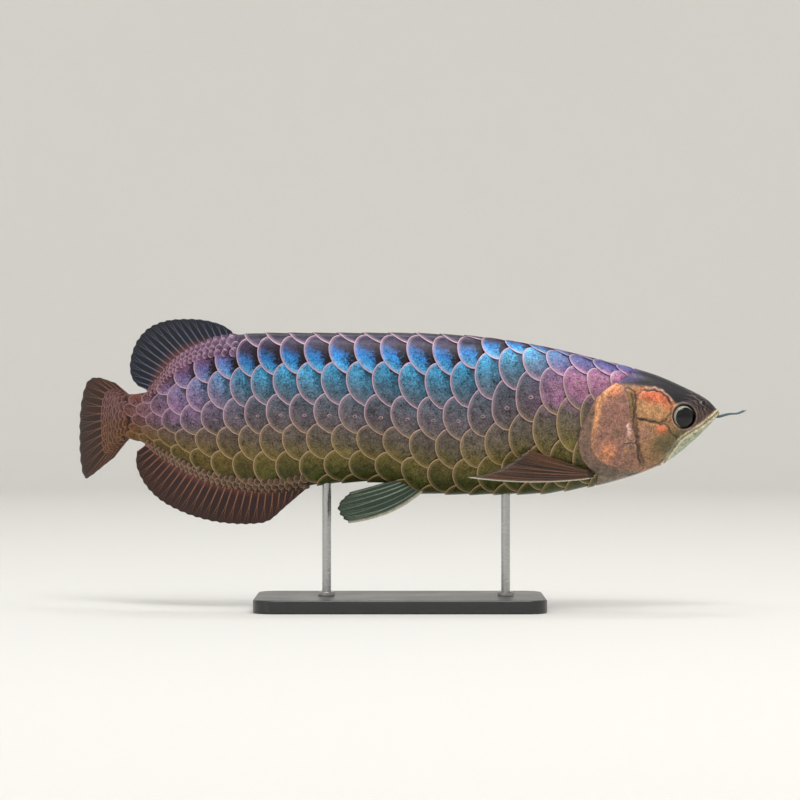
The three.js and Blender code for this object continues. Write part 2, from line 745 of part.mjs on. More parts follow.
// Barbels at the tip of the chin.
const BARBEL = { root: 1.3, tip: 0.5 };
const BARBEL_PATH = curve([[283.5, 3.2, 2.7], [288, 3.8, 3.4], [296, 5.6, 5.4], [304, 7.5, 6],
  [311, 8.6, 9]]);

function barbel(side, grow = 0) {
  const tube = new THREE.CylinderGeometry(1, 1, 1, 7, 9);
  const spots = tube.getAttribute('position');
  for (let k = 0; k < spots.count; k += 1) {
    const t = spots.getY(k) + 0.5;
    const middle = BARBEL_PATH.getPoint(t);
    const size = mix(BARBEL.root, BARBEL.tip, t) + grow;
    const start = t === 0 ? -grow : 0;
    spots.setXYZ(
      k,
      middle.x + start,
      side * (middle.y + size * spots.getX(k)),
      middle.z + size * spots.getZ(k) + AXIS_HEIGHT,
    );
  }
  return solid(tube);
}

// Stand.
const STAND = { length: 260, width: 130, thick: 12, corner: 18, rod: 4, bevel: 1.5 };
const RODS = { stand_rod_front: 95, stand_rod_rear: -66 };
const ROD_SINK = 5;

function standBase() {
  const [l, w, r] = [STAND.length / 2 - STAND.bevel, STAND.width / 2 - STAND.bevel, STAND.corner];
  const outline = new THREE.Shape();
  outline.moveTo(-l + r, -w);
  outline.lineTo(l - r, -w);
  outline.absarc(l - r, -w + r, r, -Math.PI / 2, 0);
  outline.absarc(l - r, w - r, r, 0, Math.PI / 2);
  outline.absarc(-l + r, w - r, r, Math.PI / 2, Math.PI);
  outline.absarc(-l + r, -w + r, r, Math.PI, 1.5 * Math.PI);
  const board = new THREE.ExtrudeGeometry(outline, {
    depth: STAND.thick - 2 * STAND.bevel, curveSegments: 4,
    bevelThickness: STAND.bevel, bevelSize: STAND.bevel, bevelSegments: 1,
  });
  board.translate(0, 0, STAND.bevel);
  return solid(board);
}

function rod(x, grow = 0) {
  const [low, high] = [STAND.thick - ROD_SINK - grow, AXIS_HEIGHT + BELLY(x) + ROD_SINK + grow];
  const pole = new THREE.CylinderGeometry(
    STAND.rod + grow, STAND.rod + grow, high - low, 16, 1,
  );
  pole.rotateX(Math.PI / 2);
  pole.translate(x, 0, (low + high) / 2);
  return solid(pole);
}

// Assembly: every piece is cut back from what stands in it, with the clearance.
const finish = (colour, roughness, metalness = 0) => new THREE.MeshStandardMaterial({
  color: colour, roughness, metalness,
});
const FINISH = {
  scales: finish(0x5f7f96, 0.35, 0.35),
  tailStem: finish(0x7c6a66, 0.4, 0.3),
  head: finish(0xb98a62, 0.42, 0.3),
  gill: finish(0xc59468, 0.4, 0.35),
  jaw: finish(0xb9b48c, 0.45, 0.15),
  eye: finish(0x0c0b10, 0.1),
  redFin: finish(0x6e2418, 0.5),
  darkFin: finish(0x2c3350, 0.5),
  tailFin: finish(0x9c5a28, 0.5),
  paleFin: finish(0x6f7f74, 0.5),
  barbel: finish(0x3d4a50, 0.5),
  stand: finish(0x24262a, 0.5, 0.2),
  rod: finish(0x9a9c9f, 0.3, 0.9),
};

const fish = new THREE.Group();

function add(name, body, material) {
  const mesh = new THREE.Mesh(geometryOf(body), material);
  mesh.name = name;
  fish.add(mesh);
}

const SIDES = { right: RIGHT, left: LEFT };
let trunkBody = trunk().subtract(frontRegion(0));
trunkBody = trunkBody.subtract(medianSlot(DORSAL)).subtract(medianSlot(ANAL));
let headBody = headSolid();
let jawBody = jawSolid();

add('fin_dorsal', medianFin(DORSAL), FINISH.darkFin);
add('fin_anal', medianFin(ANAL), FINISH.redFin);
add('fin_caudal', caudalFin(), FINISH.tailFin);
for (const [word, side] of Object.entries(SIDES)) {
  add(`fin_pectoral_${word}`, pairedFin(PECTORAL, side), FINISH.redFin);
  add(`fin_pelvic_${word}`, pairedFin(PELVIC, side), FINISH.paleFin);
  add(`gill_cover_${word}`, largest(gillCover(side)), FINISH.gill);
  add(`eye_${word}`, eye(side), FINISH.eye);
  add(`barbel_${word}`, barbel(side), FINISH.barbel);
  trunkBody = trunkBody.subtract(pairedSlot(PECTORAL, side)).subtract(pairedSlot(PELVIC, side));
  trunkBody = trunkBody.subtract(gillCover(side, GAP));
  headBody = headBody.subtract(gillCover(side, GAP));
  jawBody = jawBody.subtract(barbel(side, GAP));
}
add('head', largest(headBody), FINISH.head);
add('lower_jaw', largest(jawBody), FINISH.jaw);

let baseBody = standBase();
for (const [name, x] of Object.entries(RODS)) {
  add(name, rod(x), FINISH.rod);
  trunkBody = trunkBody.subtract(rod(x, GAP));
  baseBody = baseBody.subtract(rod(x, GAP));
}
add('stand_base', baseBody, FINISH.stand);

for (const x of TRUNK_CUTS) trunkBody = trunkBody.subtract(slabAt(x - GAP, x));
const middleOf = (body) => body.boundingBox().min[0] + body.boundingBox().max[0];
const lengths = trunkBody.decompose()
  .filter((body) => body.volume() > 1000)
  .sort((a, b) => middleOf(a) - middleOf(b));
add('tail_stem', lengths[0], FINISH.tailStem);
add('torso_rear', lengths[1], FINISH.scales);
add('torso_middle', lengths[2], FINISH.scales);
add('torso_front', lengths[3], FINISH.scales);

export default fish;
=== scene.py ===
"""Skin, scales, plates, fins, eyes and stand of an Asian arowana model, round its solid frame.

Shapes are worked out on a straight fish, in millimetres from the fish's own axis, which
faces +X with its right flank along -Y. The bend function carries them to the model's place,
in metres.
"""

import math

import bmesh
import bpy
import numpy as np
from bpy.props import FloatProperty, FloatVectorProperty, PointerProperty
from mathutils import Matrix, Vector


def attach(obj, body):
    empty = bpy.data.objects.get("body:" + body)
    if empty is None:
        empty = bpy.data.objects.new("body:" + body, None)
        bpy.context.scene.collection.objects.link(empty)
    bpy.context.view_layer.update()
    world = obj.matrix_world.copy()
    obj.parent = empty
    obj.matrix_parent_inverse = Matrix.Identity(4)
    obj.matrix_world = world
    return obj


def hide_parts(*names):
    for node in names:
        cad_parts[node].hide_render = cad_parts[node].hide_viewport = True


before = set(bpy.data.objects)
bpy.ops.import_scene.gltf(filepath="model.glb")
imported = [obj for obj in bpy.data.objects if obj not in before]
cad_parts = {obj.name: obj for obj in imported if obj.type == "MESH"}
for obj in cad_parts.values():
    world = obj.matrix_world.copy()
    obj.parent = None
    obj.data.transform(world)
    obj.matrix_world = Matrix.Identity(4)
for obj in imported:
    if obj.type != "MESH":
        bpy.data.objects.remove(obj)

bl_info = {
    "name": "Asian Arowana Model",
    "version": (1, 0, 0),
    "blender": (4, 5, 0),
    "location": "View3D > Sidebar > Arowana",
    "description": "Builds the skin, scales, fins and stand of an Asian arowana model",
    "category": "Object",
}

MM = 0.001
RIGHT, LEFT = -1, 1
SIDES = ((RIGHT, "right"), (LEFT, "left"))
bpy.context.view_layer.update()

# The fish's own measures, as in its solids.
AXIS_HEIGHT = 170.0
BEND_START, BEND_RADIUS = -150.0, 180.0
TAIL_END = -252.0
WIDEST = 0.52


def linear(code):
    """A colour written as six hex digits, as the linear values that a shader takes."""
    shares = [int(code[k:k + 2], 16) / 255 for k in (0, 2, 4)]
    return tuple(c / 12.92 if c < 0.04045 else ((c + 0.055) / 1.055) ** 2.4 for c in shares)


def through(*pairs):
    """Smooth curve through station and value pairs, which never overshoots them."""
    x, v = np.array(pairs, float).T
    rise = np.diff(v) / np.diff(x)
    before, after = rise[:-1], rise[1:]
    same_way = before * after > 0
    total = np.where(same_way, before + after, 1.0)
    inner = np.where(same_way, 2 * before * after / total, 0.0)
    slope = np.concatenate([rise[:1], inner, rise[-1:]])

    def at(station):
        s = np.clip(station, x[0], x[-1])
        k = np.clip(np.searchsorted(x, s) - 1, 0, len(x) - 2)
        span = x[k + 1] - x[k]
        t = (s - x[k]) / span
        return (v[k] * (2 * t**3 - 3 * t**2 + 1) + v[k + 1] * (3 * t**2 - 2 * t**3)
                + slope[k] * span * (t**3 - 2 * t**2 + t) + slope[k + 1] * span * (t**3 - t**2))
    return at


BACK = through(
    (-280, 25), (-252, 24.5), (-234, 26), (-223, 36), (-206, 54), (-187, 66), (-157, 76),
    (-110, 78.5), (0, 78.5), (60, 76), (126, 66.5), (180, 54), (225, 42), (257, 28.5),
    (277, 17.5), (286, 8))
BELLY = through(
    (-280, -18), (-252, -18.5), (-238, -21), (-222, -31), (-194, -47), (-160, -60),
    (-118, -65), (-90, -62), (-66, -57.5), (-30, -55.5), (-3, -58), (16, -65.5), (60, -67),
    (120, -66.5), (170, -60), (205, -51), (238, -38), (265, -17.5), (286, 4))
HALF_WIDTH = through(
    (-280, 5), (-252, 6.5), (-225, 8.5), (-190, 12), (-150, 17), (-100, 23), (-40, 28),
    (20, 30.5), (90, 32), (150, 32), (200, 30), (230, 26), (252, 21), (268, 16), (279, 10.5),
    (286, 4))
BACK_RIDGE = through(
    (-280, 1), (-245, 1.1), (-215, 1.6), (-180, 1.6), (-140, 1), (-60, 0.85), (120, 0.8),
    (286, 0.8))
BELLY_RIDGE = through(
    (-280, 1), (-245, 1.1), (-210, 1.6), (-120, 1.5), (-80, 1.1), (-20, 0.95), (60, 1),
    (286, 1))
LATERAL_LINE = through(
    (-280, 2), (-250, 0), (-200, -3), (-166, 0), (-109, 4.5), (-43, 3.6), (10, 0.5),
    (50, -0.7), (75, 3.6), (98, 12), (118, 21), (139.5, 28.8), (161, 33.3), (178, 34),
    (250, 34))
COLUMN_STATION = through(
    (-16.2, -271), (-14, -243), (-12, -212), (-9, -157), (-7, -119), (-4, -54), (0, 38.7),
    (3, 103.5), (6, 167), (9, 230), (10, 250))
ROW_CROWDING = through((-280, 1), (40, 1), (125, 1.9), (250, 1.9))
LATERAL_ROW, BELLY_ROW, COLUMN_SLANT = 3, 6, 0.3
FIRST_COLUMN, LAST_COLUMN = -15.3, 8.7


def mix(a, b, t):
    return a + (b - a) * t


def ease(low, high, x):
    """Smooth step from 0 to 1 as x goes from low to high."""
    t = np.clip((np.asarray(x, float) - low) / (high - low), 0, 1)
    return t * t * (3 - 2 * t)


def stack(x, y, z):
    return np.stack(np.broadcast_arrays(x, y, z), -1).astype(float)


def bend(points):
    """Straight points in millimetres, carried to the bent model in metres."""
    p = np.array(points, float)
    turn = np.maximum(0, BEND_START - p[..., 0]) / BEND_RADIUS
    reach = BEND_RADIUS - p[..., 1]
    bent = turn > 0
    x = np.where(bent, BEND_START - reach * np.sin(turn), p[..., 0])
    y = np.where(bent, BEND_RADIUS - reach * np.cos(turn), p[..., 1])
    return stack(x, y, p[..., 2] + AXIS_HEIGHT) * MM


def skin(x, angle, grow=0.0):
    """Skin of the straight fish. The angle is 0 at the back and pi at the belly, down the right."""
    back, belly = BACK(x), BELLY(x)
    widest = mix(belly, back, WIDEST)
    up, across = np.cos(angle), np.sin(angle)
    ridge = np.where(up > 0, BACK_RIDGE(x), BELLY_RIDGE(x))
    reach = np.where(up > 0, back - widest, widest - belly) + grow
    side = RIGHT * np.sign(across) * np.abs(across) ** ridge * (HALF_WIDTH(x) + grow)
    return stack(x, side, widest + up * reach)


def drape(x, z, grow, side):
    """Point of the skin that stands at a station and a height, on one side."""
    back, belly = BACK(x), BELLY(x)
    widest = mix(belly, back, WIDEST)
    share = np.where(z > widest, (z - widest) / (back - widest), (z - widest) / (widest - belly))
    points = skin(x, np.arccos(np.clip(share, -1, 1)), grow)
    points[..., 1] *= 1 if side == RIGHT else -1
    return points


def half_width(x, z):
    return np.abs(drape(x, z, 0.0, RIGHT)[..., 1])


def row_table():
    """Angle at which each row runs, at even stations."""
    stations = np.linspace(-290, 290, 400)
    turns = np.linspace(0, np.pi, 241)
    rows = np.linspace(0, BELLY_ROW, 141)
    points = skin(stations[:, None], turns[None, :])
    steps = np.linalg.norm(np.diff(points, axis=1), axis=2)
    lengths = np.concatenate([np.zeros((len(stations), 1)), np.cumsum(steps, 1)], 1)
    table = np.zeros((len(stations), len(rows)))
    for k, x in enumerate(stations):
        above = points[k, :, 2] > LATERAL_LINE(x)
        line, whole = lengths[k][above].max(initial=0.0), lengths[k][-1]
        upper = line * (rows / LATERAL_ROW) ** ROW_CROWDING(x)
        lower = line + (whole - line) * (rows - LATERAL_ROW) / (BELLY_ROW - LATERAL_ROW)
        table[k] = np.interp(np.where(rows <= LATERAL_ROW, upper, lower), lengths[k], turns)
    return stations, rows, table


STATIONS, ROWS, ROW_ANGLES = row_table()


def among(steps, value):
    """Where a value falls among even steps, as an index with a fraction."""
    return np.clip((value - steps[0]) / (steps[1] - steps[0]), 0, len(steps) - 1.001)


def row_angle(x, row):
    """Angle of a row. Past the ridge and the keel the rows run on up the other side."""
    over_back, over_keel = row < 0, row > BELLY_ROW
    folded = np.where(over_back, -row, np.where(over_keel, 2 * BELLY_ROW - row, row))
    i, j = among(STATIONS, x), among(ROWS, folded)
    i0, j0 = i.astype(int), j.astype(int)
    s, t = i - i0, j - j0
    angle = mix(mix(ROW_ANGLES[i0, j0], ROW_ANGLES[i0 + 1, j0], s),
                mix(ROW_ANGLES[i0, j0 + 1], ROW_ANGLES[i0 + 1, j0 + 1], s), t)
    return np.where(over_back, -angle, np.where(over_keel, 2 * np.pi - angle, angle))


def level_at(x, angle):
    """Row at which a point of the skin lies, from 0 on the back to 6 under the belly."""
    around = np.abs(np.angle(np.exp(1j * np.asarray(angle, float))))
    lines = ROW_ANGLES[np.round(among(STATIONS, x)).astype(int)].reshape(-1, len(ROWS))
    levels = [np.interp(turn, line, ROWS) for turn, line in zip(np.ravel(around), lines)]
    return np.array(levels).reshape(np.shape(around))


def distance_to(points, line, closed=False):
    """Distance from points to a line of corners, in the plane."""
    corners = np.array(line, float)
    ends = np.roll(corners, -1, 0) if closed else corners[1:]
    best = np.full(points.shape[:-1], 1e9)
    for a, b in zip(corners if closed else corners[:-1], ends):
        way = b - a
        share = np.clip((points - a) @ way / max(way @ way, 1e-9), 0, 1)
        best = np.minimum(best, np.linalg.norm(points - a - share[..., None] * way, axis=-1))
    return best


def inside(points, outline):
    """True where points lie inside a closed outline."""
    corners = np.array(outline, float)
    hit = np.zeros(points.shape[:-1], bool)
    px, pz = points[..., 0], points[..., 1]
    for (ax, az), (bx, bz) in zip(corners, np.roll(corners, -1, 0)):
        crosses = (az > pz) != (bz > pz)
        at = ax + (pz - az) * (bx - ax) / ((bz - az) if bz != az else 1e-9)
        hit ^= crosses & (px < at)
    return hit


def depth_in(points, outline):
    """Distance inside a closed outline, negative outside it."""
    return np.where(inside(points, outline), 1, -1) * distance_to(points, outline, True)


def smooth_line(corners, count):
    """Rounded line through corners, with a given number of points spaced evenly."""
    c = np.array(corners, float)
    ext = np.vstack([2 * c[0] - c[1], c, 2 * c[-1] - c[-2]])
    fine = []
    for k in range(1, len(ext) - 2):
        t = np.linspace(0, 1, 24, endpoint=False)[:, None]
        a, b, d, e = ext[k - 1], ext[k], ext[k + 1], ext[k + 2]
        fine.append(0.5 * (2 * b + (d - a) * t + (2 * a - 5 * b + 4 * d - e) * t**2
                           + (3 * b - a - 3 * d + e) * t**3))
    fine = np.vstack(fine + [c[-1:]])
    run = np.concatenate([[0], np.cumsum(np.linalg.norm(np.diff(fine, axis=0), axis=1))])
    where = np.linspace(0, run[-1], count)
    return np.stack([np.interp(where, run, fine[:, n]) for n in range(c.shape[1])], 1)


def along(line, share):
    """Points of an evenly spaced line at shares of its length."""
    s = np.clip(share, 0, 1) * (len(line) - 1)
    return np.stack([np.interp(s, np.arange(len(line)), line[:, n])
                     for n in range(line.shape[1])], -1)


# Settings that a user may change.

class ARO_PG_flank(bpy.types.PropertyGroup):
    """Scales and the markings that skin and scales share, with painted sheen and painted shadow
    among them.
    """
    rise: FloatProperty(name="Rim Height", description="How far a scale's rim stands out",
                        default=0.9 * MM, unit="LENGTH", precision=4)
    thickness: FloatProperty(name="Scale Thickness", description="Thickness of a large scale",
                             default=0.4 * MM, unit="LENGTH", precision=4)
    coat_depth: FloatProperty(name="Skin Depth", description="How far the skin lies under them",
                              default=1.2 * MM, unit="LENGTH", precision=4)
    back: FloatVectorProperty(name="Back", description="Ridge of the back", subtype="COLOR",
                              default=linear("1e1a24"), min=0, max=1)
    dusk: FloatVectorProperty(name="Upper Flank", description="Purple brown under the ridge",
                              subtype="COLOR", default=linear("372f46"), min=0, max=1)
    # Blue and cyan: the fish's own blue with a painted sheen of light reflected from above laid
    # into the colour.
    blue: FloatVectorProperty(name="Blue", description="Bright band under the back",
                              subtype="COLOR", default=linear("2674b8"), min=0, max=1)
    cyan: FloatVectorProperty(name="Cyan", description="Band below the blue",
                              subtype="COLOR", default=linear("4496c0"), min=0, max=1)
    teal: FloatVectorProperty(name="Teal", description="Band over the lateral line",
                              subtype="COLOR", default=linear("4d6c80"), min=0, max=1)
    grey: FloatVectorProperty(name="Flank Grey", description="Flank along the lateral line",
                              subtype="COLOR", default=linear("5a5258"), min=0, max=1)
    olive: FloatVectorProperty(name="Olive", description="Lower flank", subtype="COLOR",
                               default=linear("62572a"), min=0, max=1)
    belly: FloatVectorProperty(name="Belly", description="Belly", subtype="COLOR",
                               default=linear("3f4218"), min=0, max=1)
    violet: FloatVectorProperty(name="Violet", description="Nape and rear flank",
                                subtype="COLOR", default=linear("5d4a86"), min=0, max=1)
    rose: FloatVectorProperty(name="Rose", description="Flank behind the gill cover",
                              subtype="COLOR", default=linear("a87288"), min=0, max=1)
    tail: FloatVectorProperty(name="Tail Orange", description="Tail stem and tail base",
                              subtype="COLOR", default=linear("6b4023"), min=0, max=1)
    rim_pink: FloatVectorProperty(name="Upper Rims", description="Rims of the upper scales",
                                  subtype="COLOR", default=linear("c6a6b8"), min=0, max=1)
    rim_gold: FloatVectorProperty(name="Lower Rims", description="Rims of the lower scales",
                                  subtype="COLOR", default=linear("b0946f"), min=0, max=1)
    # Spot: colour of the painted shadow on the scales' fronts; it also fills the middle of the
    # lateral line's pores.
    spot: FloatVectorProperty(name="Dark Patches", description="Mottled front of a scale",
                              subtype="COLOR", default=linear("180d10"), min=0, max=1)


class ARO_PG_head(bpy.types.PropertyGroup):
    """Head, jaw and gill covers."""
    crown: FloatVectorProperty(name="Crown", description="Top of the head and snout",
                               subtype="COLOR", default=linear("1d181b"), min=0, max=1)
    gold: FloatVectorProperty(name="Cheek Gold", description="Cheek plates", subtype="COLOR",
                              default=linear("c08f62"), min=0, max=1)
    red: FloatVectorProperty(name="Cheek Red", description="Upper edge of the cheek plates",
                             subtype="COLOR", default=linear("d66f4c"), min=0, max=1)
    moss: FloatVectorProperty(name="Lower Cheek", description="Olive skin under the eye",
                              subtype="COLOR", default=linear("5c5432"), min=0, max=1)
    silver: FloatVectorProperty(name="Jaw Silver", description="Lower jaw and throat",
                                subtype="COLOR", default=linear("a0a68c"), min=0, max=1)
    lip: FloatVectorProperty(name="Lip", description="Pale line of the lips", subtype="COLOR",
                             default=linear("d8cfae"), min=0, max=1)
    cover: FloatVectorProperty(name="Gill Cover", description="Middle of the gill cover",
                               subtype="COLOR", default=linear("946a5c"), min=0, max=1)
    # Gill cover gold: the cover's own gold, also used for a painted highlight along the edge of its
    # bone.
    peach_and_highlight: FloatVectorProperty(name="Gill Cover Gold", description="Its arc along the rim",
                               subtype="COLOR", default=linear("dd9d6c"), min=0, max=1)
    soft_rim: FloatVectorProperty(name="Gill Cover Rim", description="Its soft edge",
                                  subtype="COLOR", default=linear("785e50"), min=0, max=1)
    eye_radius: FloatProperty(name="Eye Radius", description="Radius of an eye",
                              default=10.2 * MM, unit="LENGTH", precision=4)
    eye_margin: FloatVectorProperty(name="Eye Margin", description="Brown edge of the eye",
                                    subtype="COLOR", default=linear("3a1d18"), min=0, max=1)
    ridge: FloatVectorProperty(name="Ridges", description="Pale ridges of cheek and gill cover",
                               subtype="COLOR", default=linear("d9b3a8"), min=0, max=1)
    iris: FloatVectorProperty(name="Iris", description="Silver crescent of the eye",
                              subtype="COLOR", default=linear("a3a698"), min=0, max=1)


class ARO_PG_fins(bpy.types.PropertyGroup):
    """Fins and barbels."""
    dark: FloatVectorProperty(name="Dorsal Web", description="Membrane of the dorsal fin",
                              subtype="COLOR", default=linear("0b0d1a"), min=0, max=1)
    red: FloatVectorProperty(name="Anal Web", description="Membrane of the anal fin",
                             subtype="COLOR", default=linear("280b09"), min=0, max=1)
    orange: FloatVectorProperty(name="Tail Web", description="Membrane of the tail fin",
                                subtype="COLOR", default=linear("2c1209"), min=0, max=1)
    brown: FloatVectorProperty(name="Pectoral Web", description="Membrane of the pectorals",
                               subtype="COLOR", default=linear("4c3018"), min=0, max=1)
    green: FloatVectorProperty(name="Pelvic Web", description="Membrane of the pelvic fins",
                               subtype="COLOR", default=linear("2e3e32"), min=0, max=1)
    # Pectoral streaks: painted shade that falls between the rays.
    brown_shade_streak: FloatVectorProperty(name="Pectoral Streaks", description="Dark streaks",
                                      subtype="COLOR", default=linear("1c0f0d"), min=0, max=1)
    brown_ray: FloatVectorProperty(name="Pectoral Rays", description="Rays of the pectorals",
                                   subtype="COLOR", default=linear("6b4630"), min=0, max=1)
    # Pelvic streaks: painted shade that falls between the rays.
    green_shade_streak: FloatVectorProperty(name="Pelvic Streaks", description="Dark pelvic streaks",
                                      subtype="COLOR", default=linear("27382c"), min=0, max=1)
    green_ray: FloatVectorProperty(name="Pelvic Rays", description="Rays of the pelvic fins",
                                   subtype="COLOR", default=linear("7f8f78"), min=0, max=1)
    base: FloatVectorProperty(name="Fin Base", description="Red base of the unpaired fins",
                              subtype="COLOR", default=linear("8a4a42"), min=0, max=1)
    ray: FloatVectorProperty(name="Warm Rays", description="Rays of the red fins",
                             subtype="COLOR", default=linear("96603f"), min=0, max=1)
    cool_ray: FloatVectorProperty(name="Cool Rays", description="Rays of the dorsal fin",
                                  subtype="COLOR", default=linear("5c6684"), min=0, max=1)
    # Leading rays: a painted highlight on the thick first ray of each paired fin, lit from above.
    leading_ray_highlight: FloatVectorProperty(name="Leading Rays", description="Front rays of paired fins",
                                   subtype="COLOR", default=linear("cfc9b4"), min=0, max=1)
    barbel: FloatVectorProperty(name="Barbels", description="Barbels of the chin",
                                subtype="COLOR", default=linear("3d5560"), min=0, max=1)


class ARO_PG_stand(bpy.types.PropertyGroup):
    """Base and rods of the display stand."""
    lacquer: FloatVectorProperty(name="Base", description="Satin lacquer of the base",
                                 subtype="COLOR", default=linear("1b1c1f"), min=0, max=1)
    steel: FloatVectorProperty(name="Rods", description="Brushed steel of the rods",
                               subtype="COLOR", default=linear("b4b4b4"), min=0, max=1)
    corner: FloatProperty(name="Corner Radius", description="Rounding of the base's corners",
                          default=18 * MM, unit="LENGTH")


class ARO_PG_stage(bpy.types.PropertyGroup):
    """Floor, lights and camera."""
    distance: FloatProperty(name="Camera Distance", description="Distance to the fish's axis",
                            default=2.5, unit="LENGTH")
    height: FloatProperty(name="Camera Height", description="Height over the floor",
                          default=0.188, unit="LENGTH")
    view_width: FloatProperty(name="View Width", description="Width of the view at the fish",
                              default=0.72, unit="LENGTH")
    floor: FloatVectorProperty(name="Floor", description="Floor and backdrop", subtype="COLOR",
                               default=linear("d9d7d2"), min=0, max=1)


# Making and finishing pieces.

def set_tints(mesh, **layers):
    """Stores values at the vertices, for the materials to read by name."""
    for name, values in layers.items():
        values = np.asarray(values, np.float32)
        if values.ndim == 1:
            mesh.attributes.new(name, "FLOAT", "POINT").data.foreach_set("value", values)
        else:
            flat = np.concatenate([values, np.ones((len(values), 1), np.float32)], 1)
            layer = mesh.attributes.new(name, "FLOAT_COLOR", "POINT")
            layer.data.foreach_set("color", flat.ravel())


def set_map(mesh, at_vertices):
    """Gives a mesh its OFBake map, from a place for each vertex."""
    layer = mesh.uv_layers.new(name="OFBake")
    corners = np.empty(len(mesh.loops), np.int32)
    mesh.loops.foreach_get("vertex_index", corners)
    layer.data.foreach_set("uv", np.asarray(at_vertices, np.float32)[corners].ravel())


CELL_MARGIN, SHEET_MARGIN = 0.06, 0.01   # left free round a copy's square and round a sheet


def set_cells(mesh, at, copies):
    """Gives each copy of a shape its own square of the OFBake map, from its shares."""
    side = math.ceil(math.sqrt(copies))
    number = np.arange(copies)
    corner = np.stack([number % side, number // side], 1)[:, None, :]
    spot = corner + CELL_MARGIN + (1 - 2 * CELL_MARGIN) * at[None]
    set_map(mesh, (spot / side).reshape(-1, 2))


def two_faced(at):
    """Map shares of a slab: its underside below its top."""
    return np.stack([at[:, 0], at[:, 1] * 0.47 + 0.53 * np.round(at[:, 2])], 1)


def set_sheet(mesh, at):
    """Gives a single slab the whole OFBake map."""
    set_map(mesh, SHEET_MARGIN + (1 - 2 * SHEET_MARGIN) * two_faced(at))


def tidy(mesh, weld=0.0):
    """Merges doubles, drops faces without area and turns every face outwards."""
    bm = bmesh.new()
    bm.from_mesh(mesh)
    if weld:
        bmesh.ops.remove_doubles(bm, verts=bm.verts, dist=weld)
        bmesh.ops.dissolve_degenerate(bm, edges=bm.edges, dist=weld)
    bmesh.ops.recalc_face_normals(bm, faces=bm.faces)
    bm.to_mesh(mesh)
    bm.free()


def spun(outline, axis, steps, weld):
    """Outline turned all round an axis through the origin, as a bmesh."""
    bm = bmesh.new()
    verts = [bm.verts.new(spot) for spot in outline]
    edges = [bm.edges.new(pair) for pair in zip(verts[:-1], verts[1:])]
    bmesh.ops.spin(bm, geom=verts + edges, cent=(0, 0, 0), axis=axis, dvec=(0, 0, 0),
                   angle=2 * math.pi, steps=steps, use_merge=True)
    bmesh.ops.remove_doubles(bm, verts=bm.verts, dist=weld)
    return bm


def settled(bm, name):
    """Mesh of a bmesh, with its faces turned outwards."""
    bmesh.ops.recalc_face_normals(bm, faces=bm.faces)
    mesh = bpy.data.meshes.new(name)
    bm.to_mesh(mesh)
    bm.free()
    return mesh


def show(name, mesh, material, replaces=(), smooth=True):
    """Puts a finished mesh in the scene as a piece of the model."""
    mesh.polygons.foreach_set("use_smooth", [smooth] * len(mesh.polygons))
    piece = bpy.data.objects.new(name, mesh)
    bpy.context.scene.collection.objects.link(piece)
    mesh.materials.append(material)
    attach(piece, "root")
    if replaces:
        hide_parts(*replaces)
    return piece


def sheet(across, length):
    """Flat grid, as shares a across and b along it at each vertex, and its faces."""
    bm = bmesh.new()
    bmesh.ops.create_grid(bm, x_segments=across, y_segments=length, size=0.5)
    at = np.array([v.co[:2] for v in bm.verts]) + 0.5
    faces = [[v.index for v in f.verts] for f in bm.faces]
    bm.free()
    return at, faces


def slab(across, length):
    """Grid with a top and an underside: shares a, b and c, which is 1 on top, and faces."""
    bm = bmesh.new()
    bmesh.ops.create_grid(bm, x_segments=across, y_segments=length, size=0.5)
    bmesh.ops.solidify(bm, geom=bm.faces[:], thickness=1.0)
    bm.verts.index_update()
    at = np.array([v.co[:] for v in bm.verts])
    low, high = at.min(0), at.max(0)
    at = (at - low) / (high - low)
    faces = [[v.index for v in f.verts] for f in bm.faces]
    bm.free()
    return at, faces


def joined(name, points, faces, copies=1):
    """One mesh of many copies of a shape, with points given as copies x vertices x 3."""
    count = points.shape[1] if points.ndim == 3 else len(points)
    index = np.concatenate([np.array(f, int) for f in faces])
    sizes = np.array([len(f) for f in faces])
    mesh = bpy.data.meshes.new(name)
    total = np.concatenate([index + k * count for k in range(copies)])
    sizes = np.tile(sizes, copies)
    mesh.vertices.add(count * copies)
    mesh.vertices.foreach_set("co", points.reshape(-1).astype(np.float32))
    mesh.loops.add(len(total))
    mesh.loops.foreach_set("vertex_index", total.astype(np.int32))
    mesh.polygons.add(len(sizes))
    starts = np.concatenate([[0], np.cumsum(sizes)[:-1]])
    mesh.polygons.foreach_set("loop_start", starts.astype(np.int32))
    mesh.update(calc_edges=True)
    mesh.validate()
    return mesh


# Markings.

def band(distance, width):
    """Bell-shaped share: 1 at no distance, next to nothing past twice the width."""
    return np.exp(-(distance / width) ** 2)


def paint(tint, colour, share):
    """Colours with another laid over them, by a share at each point."""
    return mix(tint, np.array(colour), share[..., None])


